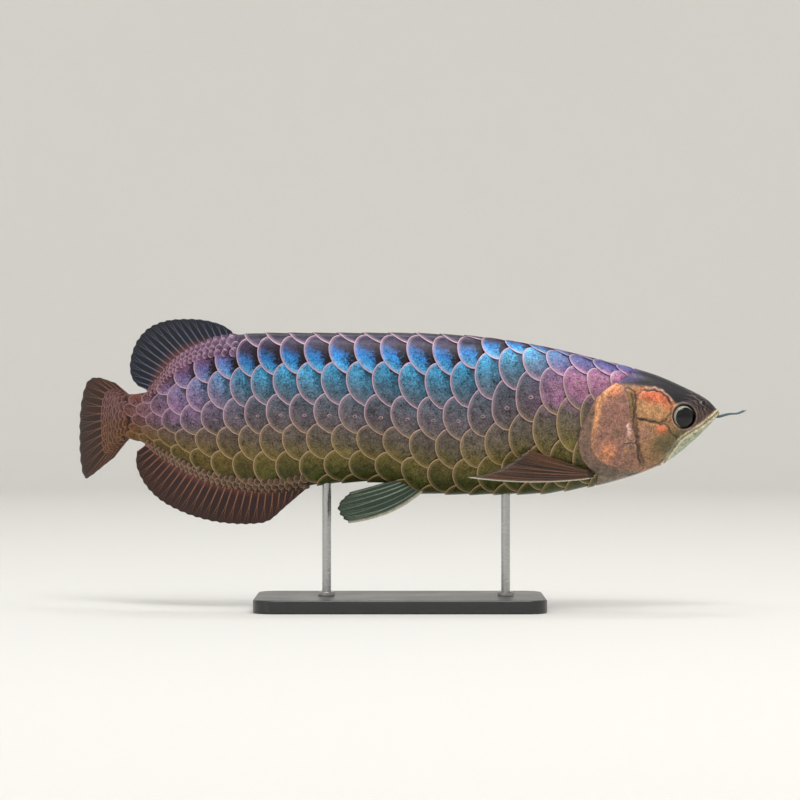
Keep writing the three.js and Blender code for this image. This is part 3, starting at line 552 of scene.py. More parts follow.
def flank_tint(x, level):
    """Colour of the body at a station and a row, without the rims; its blue and cyan bands hold
    painted sheen.
    """
    s = bpy.context.scene.aro_flank
    back, dusk, blue, cyan, teal, grey, olive, belly, violet, rose, orange = (
        np.array(colour) for colour in (s.back, s.dusk, s.blue, s.cyan, s.teal, s.grey, s.olive,
                                        s.belly, s.violet, s.rose, s.tail))
    # Rows 1.15 to 1.6: blue and cyan, partly the fish's colour and partly painted sheen of light
    # from above.
    stops = [(0.0, back), (0.55, dusk), (0.8, dusk), (1.15, blue), (1.6, cyan), (2.15, teal),
             (2.5, mix(teal, grey, 0.6)), (3.1, grey), (3.8, mix(grey, olive, 0.4)),
             (4.5, olive), (5.2, belly), (BELLY_ROW, belly)]
    rows = [row for row, _ in stops]
    tint = np.stack([np.interp(level, rows, [c[n] for _, c in stops]) for n in range(3)], -1)
    upper = 1 - ease(2.3, 3.6, level)
    lower = ease(3.2, 3.7, level)
    nape = ease(105, 165, x) * (1 - lower)
    for colour, share in (
            (violet, 0.8 * nape),
            (rose, 0.8 * nape * ease(2.2, 2.8, level)),
            (back, 0.75 * nape * ease(1.3, 0.3, level)),
            (mix(violet, rose, 0.45), 0.75 * ease(-125, -200, x) * upper),
            (orange, 0.22 * lower * ease(-80, -175, x)),
            (orange, 0.85 * ease(-188, -258, x + 6 * (level - LATERAL_ROW)))):
        tint = paint(tint, colour, share)
    return tint


def rim_tint(x, level):
    """Colour of a scale's pale rim."""
    s = bpy.context.scene.aro_flank
    tint = paint(np.array(s.rim_pink), s.rim_gold, ease(2.4, 4.0, level))
    return paint(tint, np.array(s.tail) * 1.9, 0.6 * ease(-190, -262, x))


def gloom(x, level):
    """How dark and mottled the front of a scale is: painted shadow where the scale ahead covers it.
    """
    return band(level - 1.2, 1.0) * (0.6 + 0.4 * ease(200, 90, x)) * ease(-250, -170, x)


# Node materials.

def feed(tree, socket, value):
    """Links a value that comes from a node, or sets one that is constant."""
    if isinstance(value, bpy.types.NodeSocket):
        tree.links.new(value, socket)
    else:
        socket.default_value = value


def node(tree, kind, inputs=None, **fields):
    made = tree.nodes.new(kind)
    for field, value in fields.items():
        setattr(made, field, value)
    for name, value in (inputs or {}).items():
        feed(tree, made.inputs[name], value)
    return made


def read(tree, name, colour=False):
    """Value or colour that the mesh stores at its vertices."""
    made = node(tree, "ShaderNodeAttribute", attribute_name=name)
    return made.outputs["Color" if colour else "Fac"]


def blend_colour(tree, share, a, b):
    """Two colours mixed by a share."""
    made = node(tree, "ShaderNodeMix", data_type="RGBA")
    for name, value in (("Factor", share), ("A", a), ("B", b)):
        feed(tree, [s for s in made.inputs if s.name == name and s.enabled][0], value)
    return [s for s in made.outputs if s.enabled][0]


def scaled(tree, colour, share):
    """Colour made darker or brighter by a share."""
    made = node(tree, "ShaderNodeVectorMath", {"Scale": share}, operation="SCALE")
    feed(tree, made.inputs[0], colour)
    return made.outputs[0]


def maths(tree, how, a, b=0.0, clamp=False):
    made = node(tree, "ShaderNodeMath", operation=how, use_clamp=clamp)
    feed(tree, made.inputs[0], a)
    feed(tree, made.inputs[1], b)
    return made.outputs[0]


def ramp(tree, value, low, high, to_low=0.0, to_high=1.0):
    """Smooth share of a value between two bounds."""
    made = node(tree, "ShaderNodeMapRange", interpolation_type="SMOOTHSTEP",
                inputs={"Value": value, "From Min": low, "From Max": high,
                        "To Min": to_low, "To Max": to_high})
    return made.outputs["Result"]


def place(tree):
    return node(tree, "ShaderNodeTexCoord").outputs["Object"]


def noise(tree, scale, detail=3.0, rough=0.55, vector=None, distort=0.0):
    made = node(tree, "ShaderNodeTexNoise",
                inputs={"Vector": vector or place(tree), "Scale": scale, "Detail": detail,
                        "Roughness": rough, "Distortion": distort})
    return made.outputs["Fac"]


def speckle_group():
    """Group of fine pearly grain: takes a colour, puts out the grained colour and a height."""
    name = "Pearl grain"
    if name in bpy.data.node_groups:
        return bpy.data.node_groups[name]
    tree = bpy.data.node_groups.new(name, "ShaderNodeTree")
    new = tree.interface.new_socket
    new("Color", in_out="INPUT", socket_type="NodeSocketColor")
    new("Strength", in_out="INPUT", socket_type="NodeSocketFloat").default_value = 0.3
    new("Color", in_out="OUTPUT", socket_type="NodeSocketColor")
    new("Height", in_out="OUTPUT", socket_type="NodeSocketFloat")
    outer, inner = tree.nodes.new("NodeGroupInput"), tree.nodes.new("NodeGroupOutput")
    fine, broad = noise(tree, 700.0, 2.0, 0.7), noise(tree, 160.0, 4.0, 0.6)
    grain = maths(tree, "ADD", maths(tree, "MULTIPLY", fine, 0.6),
                  maths(tree, "MULTIPLY", broad, 0.4))
    gain = maths(tree, "MULTIPLY", outer.outputs["Strength"], 5.0)
    swing = maths(tree, "MULTIPLY", maths(tree, "SUBTRACT", grain, 0.5), gain)
    bright = scaled(tree, outer.outputs["Color"], maths(tree, "ADD", swing, 1.0))
    tree.links.new(bright, inner.inputs["Color"])
    tree.links.new(grain, inner.inputs["Height"])
    return tree


def grained(tree, colour, strength):
    """Colour and height of a surface with pearly grain of a given strength."""
    made = node(tree, "ShaderNodeGroup")
    made.node_tree = speckle_group()
    feed(tree, made.inputs["Color"], colour)
    made.inputs["Strength"].default_value = strength
    return made.outputs["Color"], made.outputs["Height"]


def finish(name, make):
    """Material of a name, made when the first piece asks for it."""
    return bpy.data.materials.get(name) or make()


def material(name, **sockets):
    """New material with its shader's constant sockets set."""
    made = bpy.data.materials.new(name)
    made.use_nodes = True
    shader = made.node_tree.nodes["Principled BSDF"]
    for socket, value in sockets.items():
        shader.inputs[socket.replace("_", " ")].default_value = value
    return made, made.node_tree, shader


def bumped(tree, shader, height, strength, distance):
    made = node(tree, "ShaderNodeBump",
                inputs={"Height": height, "Strength": strength, "Distance": distance})
    tree.links.new(made.outputs["Normal"], shader.inputs["Normal"])


def rgba(colour):
    return (*colour, 1.0)


def scale_material():
    """Wet, pearly scales: pale rim, grained face and a front darkened by mottled painted shadow."""
    s = bpy.context.scene.aro_flank
    made, tree, shader = material("Pearly scales", Roughness=0.4, Metallic=0.25,
                                  Coat_Weight=0.1, Coat_Roughness=0.16, IOR=1.3)
    face, height = grained(tree, read(tree, "tint", True), 1.1)
    edge = read(tree, "edge")
    mottle = noise(tree, 420.0, 4.0, 0.7)
    ahead = ramp(tree, read(tree, "front"), 0.3, 0.95)
    swing = maths(tree, "MULTIPLY", maths(tree, "SUBTRACT", mottle, 0.5), 2.6)
    # Painted shadow: the front of each scale, next to the rim of the scale ahead, darkens towards
    # the spot colour, broken up by mottling.
    dark = ramp(tree, maths(tree, "ADD", ahead, swing), 0.12, 0.72)
    dark = maths(tree, "MULTIPLY", dark, read(tree, "gloom"), clamp=True)
    colour = blend_colour(tree, dark, face, rgba(s.spot))
    wobble = maths(tree, "MULTIPLY", maths(tree, "SUBTRACT", noise(tree, 250.0), 0.5), 0.8)
    near = maths(tree, "ADD", edge, wobble)
    dust = ramp(tree, near, 4.2, 1.2, 0.0, 0.26)
    line = ramp(tree, near, 1.1, 0.6)
    for share in (dust, line):
        colour = blend_colour(tree, share, colour, read(tree, "rim", True))
    tree.links.new(colour, shader.inputs["Base Color"])
    rings = maths(tree, "MULTIPLY", maths(tree, "SINE", maths(tree, "MULTIPLY", near, 5.0)), 0.3)
    bumped(tree, shader, maths(tree, "ADD", height, rings), 0.2, 0.0004)
    return made


def skin_material():
    """Skin of the head and of what shows between the scales."""
    made, tree, shader = material("Wet skin", Roughness=0.42, Metallic=0.12,
                                  Coat_Weight=0.2, Coat_Roughness=0.18, IOR=1.4)
    colour, height = grained(tree, read(tree, "tint", True), 0.6)
    wrinkle = noise(tree, 260.0, 5.0, 0.7, distort=1.2)
    # Painted shade in the wrinkles' creases and painted highlight on their crests: the colour
    # follows the same noise as the bump.
    crease_shade_and_highlight = ramp(tree, wrinkle, 0.4, 0.58, 0.68, 1.2)
    tree.links.new(scaled(tree, colour, crease_shade_and_highlight), shader.inputs["Base Color"])
    bumped(tree, shader, maths(tree, "ADD", height, wrinkle), 0.45, 0.0008)
    return made


def web_material():
    """Thin wet membrane, a little clearer towards its margin."""
    made, tree, shader = material("Fin membrane", Roughness=0.5, Coat_Weight=0.12,
                                  Coat_Roughness=0.2, IOR=1.4)
    face, height = grained(tree, read(tree, "tint", True), 0.4)
    tree.links.new(face, shader.inputs["Base Color"])
    fade = ramp(tree, read(tree, "reach"), 0.35, 1.0, 1.0, 0.97)
    tree.links.new(fade, shader.inputs["Alpha"])
    bumped(tree, shader, height, 0.25, 0.0004)
    return made


def ray_material():
    """Bony rays with fine joints across them."""
    made, tree, shader = material("Fin rays", Roughness=0.38, Coat_Weight=0.25, IOR=1.45)
    face, height = grained(tree, read(tree, "tint", True), 0.3)
    wave = maths(tree, "SINE", maths(tree, "MULTIPLY", read(tree, "run"), 4.2))
    joint = ramp(tree, wave, 0.55, 0.95, 1.0, 0.62)
    tree.links.new(scaled(tree, face, joint), shader.inputs["Base Color"])
    bumped(tree, shader, maths(tree, "ADD", height, joint), 0.3, 0.0003)
    return made


PUPIL_BLACK = (0.004, 0.004, 0.005, 1.0)


def eye_material():
    """Clear wet eye: black pupil, silver iris that shows as a crescent, brown margin."""
    h = bpy.context.scene.aro_head
    made, tree, shader = material("Eye", Roughness=0.14, Coat_Weight=0.25,
                                  Coat_Roughness=0.03, IOR=1.33)
    streak = noise(tree, 700.0, 4.0, 0.7)
    silver = scaled(tree, h.iris, ramp(tree, streak, 0.3, 0.7, 0.55, 1.1))
    pupil = ramp(tree, read(tree, "pupil"), 8.7, 9.1)
    colour = blend_colour(tree, pupil, PUPIL_BLACK, silver)
    margin = ramp(tree, read(tree, "ring"), 9.5, 9.8)
    colour = blend_colour(tree, margin, colour, rgba(h.eye_margin))
    tree.links.new(colour, shader.inputs["Base Color"])
    return made


def barbel_material():
    """Soft blue grey skin of the barbels."""
    made, tree, shader = material("Barbel skin", Roughness=0.45, Coat_Weight=0.25, IOR=1.4)
    face, height = grained(tree, read(tree, "tint", True), 0.35)
    tree.links.new(face, shader.inputs["Base Color"])
    bumped(tree, shader, height, 0.3, 0.0004)
    return made


def lacquer_material():
    """Satin black lacquer with a faint orange peel."""
    s = bpy.context.scene.aro_stand
    made, tree, shader = material("Satin lacquer", Roughness=0.38, Coat_Weight=0.4,
                                  Coat_Roughness=0.2)
    broad = ramp(tree, noise(tree, 18.0, 4.0), 0.3, 0.7, 0.34, 0.44)
    tree.links.new(broad, shader.inputs["Roughness"])
    face, _ = grained(tree, rgba(s.lacquer), 0.06)
    tree.links.new(face, shader.inputs["Base Color"])
    bumped(tree, shader, noise(tree, 700.0, 2.0), 0.06, 0.0003)
    return made


def steel_material():
    """Steel brushed round the rods."""
    s = bpy.context.scene.aro_stand
    made, tree, shader = material("Brushed steel", Roughness=0.3, Metallic=1.0)
    stretch = node(tree, "ShaderNodeMapping", inputs={"Vector": place(tree)})
    stretch.inputs["Scale"].default_value = (60.0, 60.0, 2600.0)
    lines = noise(tree, 1.0, 3.0, 0.6, stretch.outputs["Vector"])
    tree.links.new(ramp(tree, lines, 0.3, 0.7, 0.22, 0.42), shader.inputs["Roughness"])
    face, _ = grained(tree, rgba(s.steel), 0.05)
    tree.links.new(face, shader.inputs["Base Color"])
    bumped(tree, shader, lines, 0.15, 0.0002)
    return made


def floor_material():
    """Matt floor with next to no grain."""
    made, tree, shader = material("Pale floor", Roughness=0.8)
    colour, _ = grained(tree, rgba(bpy.context.scene.aro_stage.floor), 0.02)
    tree.links.new(colour, shader.inputs["Base Color"])
    return made


# Skin.

NECK = [(218, 90), (213, 50), (205, 41), (192, 33), (180, 22), (176, 0), (176, -90)]
MOUTH = [(292, 9), (284, 6), (270, -4.5), (258, -11.5), (250, -17.5), (241, -30), (233, -46)]
CHEEK_PLATES = [
    [(211, 21), (217, 25.5), (227, 26), (236, 22.5), (241, 15), (241.5, 8), (236, 1), (229, -1),
     (222, 0.5), (211, 3)],
    [(211, 1), (222, -2), (231, -4), (238, -4.5), (240, -10), (247, -17), (240, -27),
     (235, -35), (222, -41.5), (216, -32), (212.5, -15)],
    [(199.5, 28), (208.5, 24), (208, 0), (210, -19), (196, -19), (198, -10), (203, 5)],
    [(197, -22), (210.5, -21.5), (213, -35), (217, -43), (208, -47.5), (200, -45)],
]
CHEEK_PLATES = [smooth_line([*outline, outline[0]], 40) for outline in CHEEK_PLATES]
PLATE_RISE, LIP_RISE, LIP_HEIGHT = 0.9, 0.9, 3.0
RIDGES = [                    # line, width and height of each raised ridge
    ([(219.2, 27.8), (228, 28.2), (237, 24), (243.3, 16.2)], 0.9, 0.8),
    ([(199.5, 4), (202.5, -5), (204.5, -14)], 1.6, 0.6),
    ([(194.5, -18), (203, -19.2), (210, -18.2)], 0.6, 0.7),
    ([(195.5, -20.6), (203, -21.8), (210, -20.6)], 0.6, 0.7),
]
GROOVES = [                   # line, width and depth of each groove
    ([(206.5, 23), (208, 8), (207, -4), (210, -16), (212, -30), (214, -40)], 0.7, 0.7),
    ([(212, 2.5), (221, -0.5), (230, -2.2), (241, -0.8)], 0.6, 0.5),
    ([(194, -19.4), (203, -20.5), (211, -19.4)], 0.5, 0.5),
    ([(219, 25.6), (228, 26.2), (236, 22.5), (241.5, 15.5)], 0.6, 0.5),
]
EYE = {"x": 253.6, "z": 3.2, "depth": 6.0, "sink": 3.0, "ring": 1.5, "hole": 5.0}
NOSTRIL = {"x": 272.0, "z": 14.5, "radius": 1.9, "wall": 0.8, "depth": 1.6}
JAW = [*MOUTH, (233, -100), (330, -100)]   # all that lies under the mouth line
CROWN_LINE = through((160, 60), (188, 34), (207, 30.5), (219, 29.5), (232, 27), (242, 18),
                     (250, 12), (262, 9), (274, 8), (286, 6.5))
GILL_EDGE = [(191, 33), (181, 26), (173, 18), (166, 4), (160, -9), (158, -19), (160, -31),
             (166, -40), (175, -47), (188, -51)]
GILL_FRONT = [(198, -47), (196, -20), (201, 4), (198, 28)]


def in_front(points):
    """How far points lie in front of the neck line, negative behind it."""
    outline = NECK + [(340, -90), (340, 90)]
    return depth_in(points, outline)


def uneven(points):
    """Points shifted a little to and fro, which makes lines drawn from them less regular."""
    x, z = points[..., 0], points[..., 1]
    return points + 0.5 * np.stack([np.sin(0.9 * z + 1.3 * np.sin(0.31 * x)),
                                    np.sin(0.8 * x + 1.7 * np.sin(0.37 * z))], -1)


def eye_folds(points):
    """Wrinkles that spread in front of the eye, from -1 to 1."""
    dx, dz = points[..., 0] - EYE["x"], points[..., 1] - EYE["z"]
    from_eye = np.maximum(np.hypot(dx, dz), 1)
    wave = np.cos(np.arctan2(dz, dx) * 2 + 34 * np.log(from_eye / 10) + np.sin(1.3 * dz))
    return wave * ease(-0.2, 0.6, dx / from_eye) * ease(27, 20, from_eye) * ease(12, 14, from_eye)


def head_relief(points):
    """Height of the head's forms over the mean skin, at stations and heights."""
    rise = np.full(points.shape[:-1], 0.4)
    rough = uneven(points)
    for outline in CHEEK_PLATES:
        depth = depth_in(rough, outline)
        rise += PLATE_RISE * ease(0.0, 1.6, depth) - 0.5 * band(depth + 0.5, 0.6)
    for line, width, height in RIDGES:
        rise += height * band(distance_to(rough, line), width)
    for line, width, depth in GROOVES:
        rise -= depth * band(distance_to(rough, line), width)
    away = distance_to(points, smooth_line(MOUTH, 60))
    height = LIP_HEIGHT * np.where(depth_in(points, JAW) > 0, 0.9, 1.0)
    rise += LIP_RISE * np.sin(np.pi * np.clip(away / height, 0, 1)) ** 0.7
    rise -= 1.3 * band(away, 0.5)
    from_eye = np.hypot(points[..., 0] - EYE["x"], points[..., 1] - EYE["z"])
    rise += EYE["ring"] * band(from_eye - 11.7, 0.9)
    rise += 0.3 * eye_folds(points)
    rise -= EYE["hole"] * ease(10.8, 9.6, from_eye)
    from_nostril = np.hypot(points[..., 0] - NOSTRIL["x"], points[..., 1] - NOSTRIL["z"])
    rise += NOSTRIL["wall"] * band(from_nostril - NOSTRIL["radius"], 0.6)
    return rise - NOSTRIL["depth"] * ease(1.4, 0.6, from_nostril)


def blot(tint, points, colour, centre, reach, share, turn):
    """Soft patch of colour round a centre, its reach given along and across a turned line."""
    c, s = math.cos(math.radians(turn)), math.sin(math.radians(turn))
    dx, dz = points[..., 0] - centre[0], points[..., 1] - centre[1]
    u, v = (dx * c + dz * s) / reach[0], (dz * c - dx * s) / reach[1]
    return paint(tint, colour, share * np.exp(-(u * u + v * v) ** 1.5))


def head_tint(points):
    """Colours of the head at stations and heights."""
    h = bpy.context.scene.aro_head
    x, z = points[..., 0], points[..., 1]
    gold, red, moss, cover, crown, silver, ridge = (np.array(colour) for colour in (
        h.gold, h.red, h.moss, h.cover, h.crown, h.silver, h.ridge))
    tint = np.broadcast_to(gold * 0.7, points.shape[:-1] + (3,)).copy()
    for patch in (             # colour, centre, reach along and across, share and turn
            (cover, (203, -4), (7, 22), 0.85, 0),
            (moss * 1.2, (206, 14), (4, 12), 0.9, 0),
            (ridge, (202, -4), (3, 9), 0.5, 8),
            (gold, (226, 9), (17, 13), 1.0, 0),
            (red, (226, 21), (15, 6.5), 0.95, -8),
            (red, (238, 16), (5, 8), 0.6, 20),
            (gold * 0.85, (219, -2), (9, 7), 0.8, 0),
            (cover * 1.05, (217, -12), (7, 9), 0.7, 0),
            (red * 1.1, (233, -8), (5, 4), 0.95, -20),
            (moss, (236, -22), (15, 11), 0.95, 45),
            (moss, (250, -12), (13, 7), 0.9, 40),
            (gold * 0.6, (226, -32), (9, 7), 0.7, 30),
            (cover * 0.85, (206, -35), (8, 11), 0.85, 0)):
        tint = blot(tint, points, *patch)
    top = ease(-1.5, 2.5, z - CROWN_LINE(x))
    tint = paint(tint, crown, top)
    nape = top * ease(14, 1, in_front(points) + 3 * np.sin(0.8 * z + np.sin(1.1 * x)))
    tint = paint(tint, np.array(bpy.context.scene.aro_flank.violet) * 0.7, 0.75 * nape)
    from_mouth = distance_to(points, MOUTH)
    tint = paint(tint, crown * 1.6, 0.9 * ease(250, 262, x) * ease(-2, 3, from_mouth - 2))
    tint = paint(tint, silver, ease(-1, 1.5, depth_in(points, JAW)))
    throat = ease(-40, -47, z + 0.25 * (x - 205)) * ease(240, 225, x)
    tint = paint(tint, mix(silver, cover, 0.5) * 0.5, 0.85 * throat)
    tint = paint(tint, h.lip, 0.95 * band(from_mouth - 1.5, 1.0))
    rough = uneven(points)
    for outline in CHEEK_PLATES:
        tint = paint(tint, crown, 0.7 * band(depth_in(rough, outline) + 0.6, 0.8))
    for line, width, _ in RIDGES:
        tint = paint(tint, ridge, 0.6 * band(distance_to(rough, line), width))
    for line, width, _ in GROOVES:
        tint = paint(tint, crown, 0.85 * band(distance_to(rough, line), width))
    from_eye = np.hypot(x - EYE["x"], z - EYE["z"])
    tint = paint(tint, ridge * 0.7, 0.4 * band(from_eye - 11.6, 0.6))
    snout = ease(8, 12, x - EYE["x"] + 0.4 * (z - EYE["z"]))
    tint = paint(tint, ridge * 0.6, 0.3 * np.clip(eye_folds(rough), 0, 1) * snout)
    # Painted shade: the skin in the narrow gap round the eyeball is darkened almost to black.
    return paint(tint, crown * 0.4, ease(10.9, 10.2, from_eye))


SINK = 4.0                    # how deep a fin's root stands in the body
DORSAL = {
    "rays": 19,
    "root": smooth_line([(-150, 77), (-172, 71.5), (-190, 64), (-205, 54), (-217, 43),
                         (-225, 33), (-232, 27.5)], 120),
    "margin": smooth_line([(-152, 80.5), (-162, 86.5), (-178, 90.5), (-195, 91.5), (-213, 90),
                           (-230, 84), (-243, 73), (-250, 60), (-252, 48), (-249, 38),
                           (-242, 31)], 200),
}
ANAL = {
    "rays": 26,
    "root": smooth_line([(-84, -61), (-118, -64.5), (-160, -59.5), (-194, -46.5), (-218, -33),
                         (-234, -23.5)], 160),
    "margin": smooth_line([(-88, -65), (-104, -79), (-118, -91), (-133, -94), (-152, -93.8),
                           (-172, -91), (-196, -84), (-219, -73), (-235, -59), (-244, -42),
                           (-243, -29)], 240),
}
PECTORAL = {
    "rays": 8, "sag": (0, 3, -4),
    "root": smooth_line([(170, 23, -51), (167, 25, -48), (165, 26.5, -44)], 40),
    "margin": smooth_line([(58, 56, -50), (80, 51, -46), (98, 44, -37), (113, 37, -26)], 80),
}
PELVIC = {
    "rays": 6, "sag": (4, 0, -6),
    "root": smooth_line([(20, 7, -62), (9, 9, -58), (-2, 9, -54)], 40),
    "margin": smooth_line([(-47, 19, -92), (-54, 22, -85), (-56, 24, -76), (-46, 25, -66)], 80),
}
CAUDAL_RAYS, CAUDAL_LENGTH = 17, 66.0
LOBE_ROWS = 9                 # rows of small scales on the tail fin's base
CAUDAL_ROOT = [(-252.0, 23.0), (-252.0, -17.0)]
CAUDAL_MARGIN = [(-269, 34), (-293, 39), (-309, 36), (-318, 23), (-322, 5), (-322, -15),
                 (-321, -33), (-317, -49), (-308, -54.5), (-271, -35)]
LOBE_END = 0.46


def caudal_spot(a, b):
    """Middle plane of the tail fin: a runs down its root, b out to its margin."""
    margin = smooth_line(CAUDAL_MARGIN, 200)
    foot = mix(np.array(CAUDAL_ROOT[0]), np.array(CAUDAL_ROOT[1]), np.asarray(a)[..., None])
    return mix(foot, along(margin, a), np.asarray(b)[..., None])


def caudal_half(a, b):
    """Half thickness of the fleshy base of the tail fin."""
    z = mix(CAUDAL_ROOT[0][1], CAUDAL_ROOT[1][1], a)
    return half_width(np.full(np.shape(z), TAIL_END), z) * (1 - ease(0, LOBE_END, b))


SKIN_RINGS = {"tail": 14, "body": 64, "head": 196, "nose": 5}
SKIN_AROUND = 320             # faces round the skin
NECK_STATION, NOSE_STATION = 150.0, 286.0
NOSE_HEIGHT, NOSE_REACH = 6.0, 1.4   # where the snout closes, and how far it bulges ahead


def nose_cap(points, turn):
    """Rings of the snout drawn in to a rounded end."""
    centre = np.array([NOSE_STATION, 0.0, NOSE_HEIGHT])
    pulled = centre + (points - centre) * np.cos(turn)[:, None]
    pulled[:, 0] += NOSE_REACH * np.sin(turn)
    return np.where((turn > 0)[:, None], pulled, points)


def lobe_skin(angle, out):
    """Skin over the fleshy base of the tail fin, at angles and shares of its length."""
    depth = bpy.context.scene.aro_flank.coat_depth / MM
    root = skin(np.full(len(out), TAIL_END), angle, -depth)
    top, bottom = CAUDAL_ROOT[0][1], CAUDAL_ROOT[1][1]
    a = np.clip((top - root[:, 2]) / (top - bottom), 0, 1)
    b = np.clip(out, 0, 1) * (LOBE_END + 0.02)
    spot = caudal_spot(a, b)
    thick = np.clip(caudal_half(a, b) - 0.6 * depth, 0.12, None)
    height = spot[:, 1] + (root[:, 2] - mix(top, bottom, a)) * (1 - b)
    return stack(spot[:, 0], np.sign(root[:, 1]) * np.minimum(thick, np.abs(root[:, 1])), height)


def build_skin():
    """One closed skin from the snout to the scaled base of the tail fin."""
    tail, body, head, nose = SKIN_RINGS.values()
    total = tail + body + head + nose
    at, faces = sheet(SKIN_AROUND, total)
    ring = np.round(at[:, 1] * total).astype(int)
    angle = at[:, 0] * 2 * np.pi
    x = np.interp(ring, [tail, tail + body, tail + body + head],
                  [TAIL_END, NECK_STATION, NOSE_STATION])
    flat = skin(x, angle)[:, [0, 2]]
    ahead = in_front(flat)
    front = ease(-0.5, 1.0, ahead)
    depth = bpy.context.scene.aro_flank.coat_depth / MM
    points = skin(x, angle, np.where(ahead > -0.5, head_relief(flat) * front, 0)
                  - depth * (1 - front))
    points = nose_cap(points, np.clip((ring - total + nose) / nose, 0, 1) * math.pi / 2)
    points = np.where((ring < tail)[:, None], lobe_skin(angle, 1 - ring / tail), points)

    # Painted shade: under and between the scales the skin takes the flank colour darkened to 0.55.
    tint = mix(flank_tint(x, level_at(x, angle)) * 0.55, head_tint(flat),
               ease(-1.0, 1.5, ahead)[:, None])
    mesh = joined("skin", bend(points), faces)
    set_tints(mesh, tint=tint)
    set_map(mesh, at)
    tidy(mesh, 1e-6)
    show("skin", mesh, finish("Wet skin", skin_material), [
        "torso_front", "torso_middle", "torso_rear", "tail_stem", "head", "lower_jaw"])


# Scales.

def rim_at(turn):
    """Rear rim of a large scale, in columns ahead and rows down from its cell's middle."""
    return np.stack([0.25 - 0.78 * np.cos(turn) - 0.144 * np.sin(turn), -0.72 * np.sin(turn)], -1)


FRONT_REACH = 0.72            # how far ahead a scale's hidden front end lies, in columns
RIM_TURN = math.radians(84)   # how far round the rim runs up and down
WIDE_SCALE, TALL_SCALE = 21.6, 26.0   # a scale of the middle flank, to which rims are scaled
FIN_GAP, TAIL_GAP = 6.5, 4.0  # how far large scales stay from the fins' roots and the tail's end
NECK_OVERLAP = 6.0            # how far the last large scale may lie in front of the neck line
NECK_SINK = 2.4               # how deep scales dip under the skin in front of the neck line
RIDGE_END = 214.0             # station at which the ridge's own row of scales ends


def scale_cells(side):
    """Column and row of each large scale of one side; the middle rows go with the right."""
    cells = []
    for row in range(BELLY_ROW + 1):
        if side == LEFT and row in (0, BELLY_ROW):
            continue
        lead = 0.5 + COLUMN_SLANT * (LATERAL_ROW - row)
        for column in range(math.ceil(FIRST_COLUMN - lead), math.floor(LAST_COLUMN - lead) + 1):
            middle = column + lead
            x = float(COLUMN_STATION(middle))
            z = float(skin(x, row_angle(np.array(x), np.array(float(row))))[..., 2])
            spot = np.array([x, z])
            near_fin = min(distance_to(spot, DORSAL["root"][8:]), distance_to(spot, ANAL["root"]))
            if x < TAIL_END + TAIL_GAP or near_fin < FIN_GAP:
                continue
            if in_front(spot) < NECK_OVERLAP or row == 0 and x < RIDGE_END:
                cells.append((middle, row))
    return np.array(cells, float)


def cell_size(cells):
    """Length and height of the cells that large scales cover, in millimetres."""
    column, row = cells.T
    middle = COLUMN_STATION(column)
    upper = skin(middle, row_angle(middle, np.maximum(row - 0.5, 0)))
    lower = skin(middle, row_angle(middle, np.minimum(row + 0.5, BELLY_ROW)))
    halved = (row == 0) | (row == BELLY_ROW)
    tall = np.linalg.norm(upper - lower, axis=1) * np.where(halved, 2, 1)
    return COLUMN_STATION(column + 0.5) - COLUMN_STATION(column - 0.5), tall


def build_scales():
    """Large overlapping scales of both flanks, the back and the belly."""
    f = bpy.context.scene.aro_flank
    at, faces = slab(18, 12)
    a, b, c = at.T
    turn = mix(-RIM_TURN, RIM_TURN, a)
    b = 1 - (1 - b) ** 1.35
    front = np.stack([FRONT_REACH - 0.25 * np.abs(np.sin(turn)), -0.52 * np.sin(turn)], -1)
    spot = mix(front, rim_at(turn), b[:, None])
    droop = 0.62 * ease(math.radians(48), RIM_TURN, np.abs(turn))
    line = rim_at(np.linspace(-RIM_TURN, RIM_TURN, 40))
    look = finish("Pearly scales", scale_material)
    generator = np.random.default_rng(7)
    for side, word in SIDES:
        cells = scale_cells(side)
        row = cells[:, 1:] + spot[None, :, 1]
        x = COLUMN_STATION(cells[:, :1] + spot[None, :, 0])
        height = f.rise / MM * (1 - 0.45 * band(row, 0.7))
        lift = height * (mix(-0.9, 1.0, b) - droop)[None, :] - f.thickness / MM * (1 - c)[None, :]
        lift -= 0.14 * ease(0.93, 1.0, b) * c
        angle = row_angle(x, row)
        lift -= NECK_SINK * ease(-1.0, 2.0, in_front(skin(x, angle)[..., [0, 2]]))
        points = skin(x, angle, lift)
        if side == LEFT:
            points[..., 1] *= -1
        pitch, tall = cell_size(cells)
        edge = np.array([distance_to(spot * cell, line * cell) for cell in zip(pitch, tall)])
        size = np.minimum(pitch / WIDE_SCALE, tall / TALL_SCALE)[:, None]
        edge /= np.clip(size, 0.35, 1) ** 0.8
        level = np.abs(row)
        level = np.where(level > BELLY_ROW, 2 * BELLY_ROW - level, level)
        lean = level + 0.4 * (b - 0.62) * ease(0.2, 0.8, level)
        shade = generator.uniform(0.85, 1.15, (len(cells), 1, 1))
        mesh = joined(f"scales_{word}", bend(points), faces, len(cells))
        set_cells(mesh, two_faced(at), len(cells))
        set_tints(mesh, tint=(flank_tint(x, lean) * shade).reshape(-1, 3),
                  rim=rim_tint(x, level).reshape(-1, 3), edge=edge.ravel(),
                  gloom=gloom(x, level).ravel(),
                  front=np.broadcast_to(1 - b, x.shape).ravel())
        tidy(mesh)
        show(f"scales_{word}", mesh, look)


SMALL_BANDS = (               # fin, rows, pitch along its root, and which way the fin stands
    (DORSAL, 4, through((-232, 3.7), (-185, 5.2), (-150, 7.5)), 1),
    (ANAL, 3, through((-234, 3.8), (-160, 5.4), (-84, 6.4)), -1))
ROW_SHIFT = 2.5               # how far every second row of small scales starts on


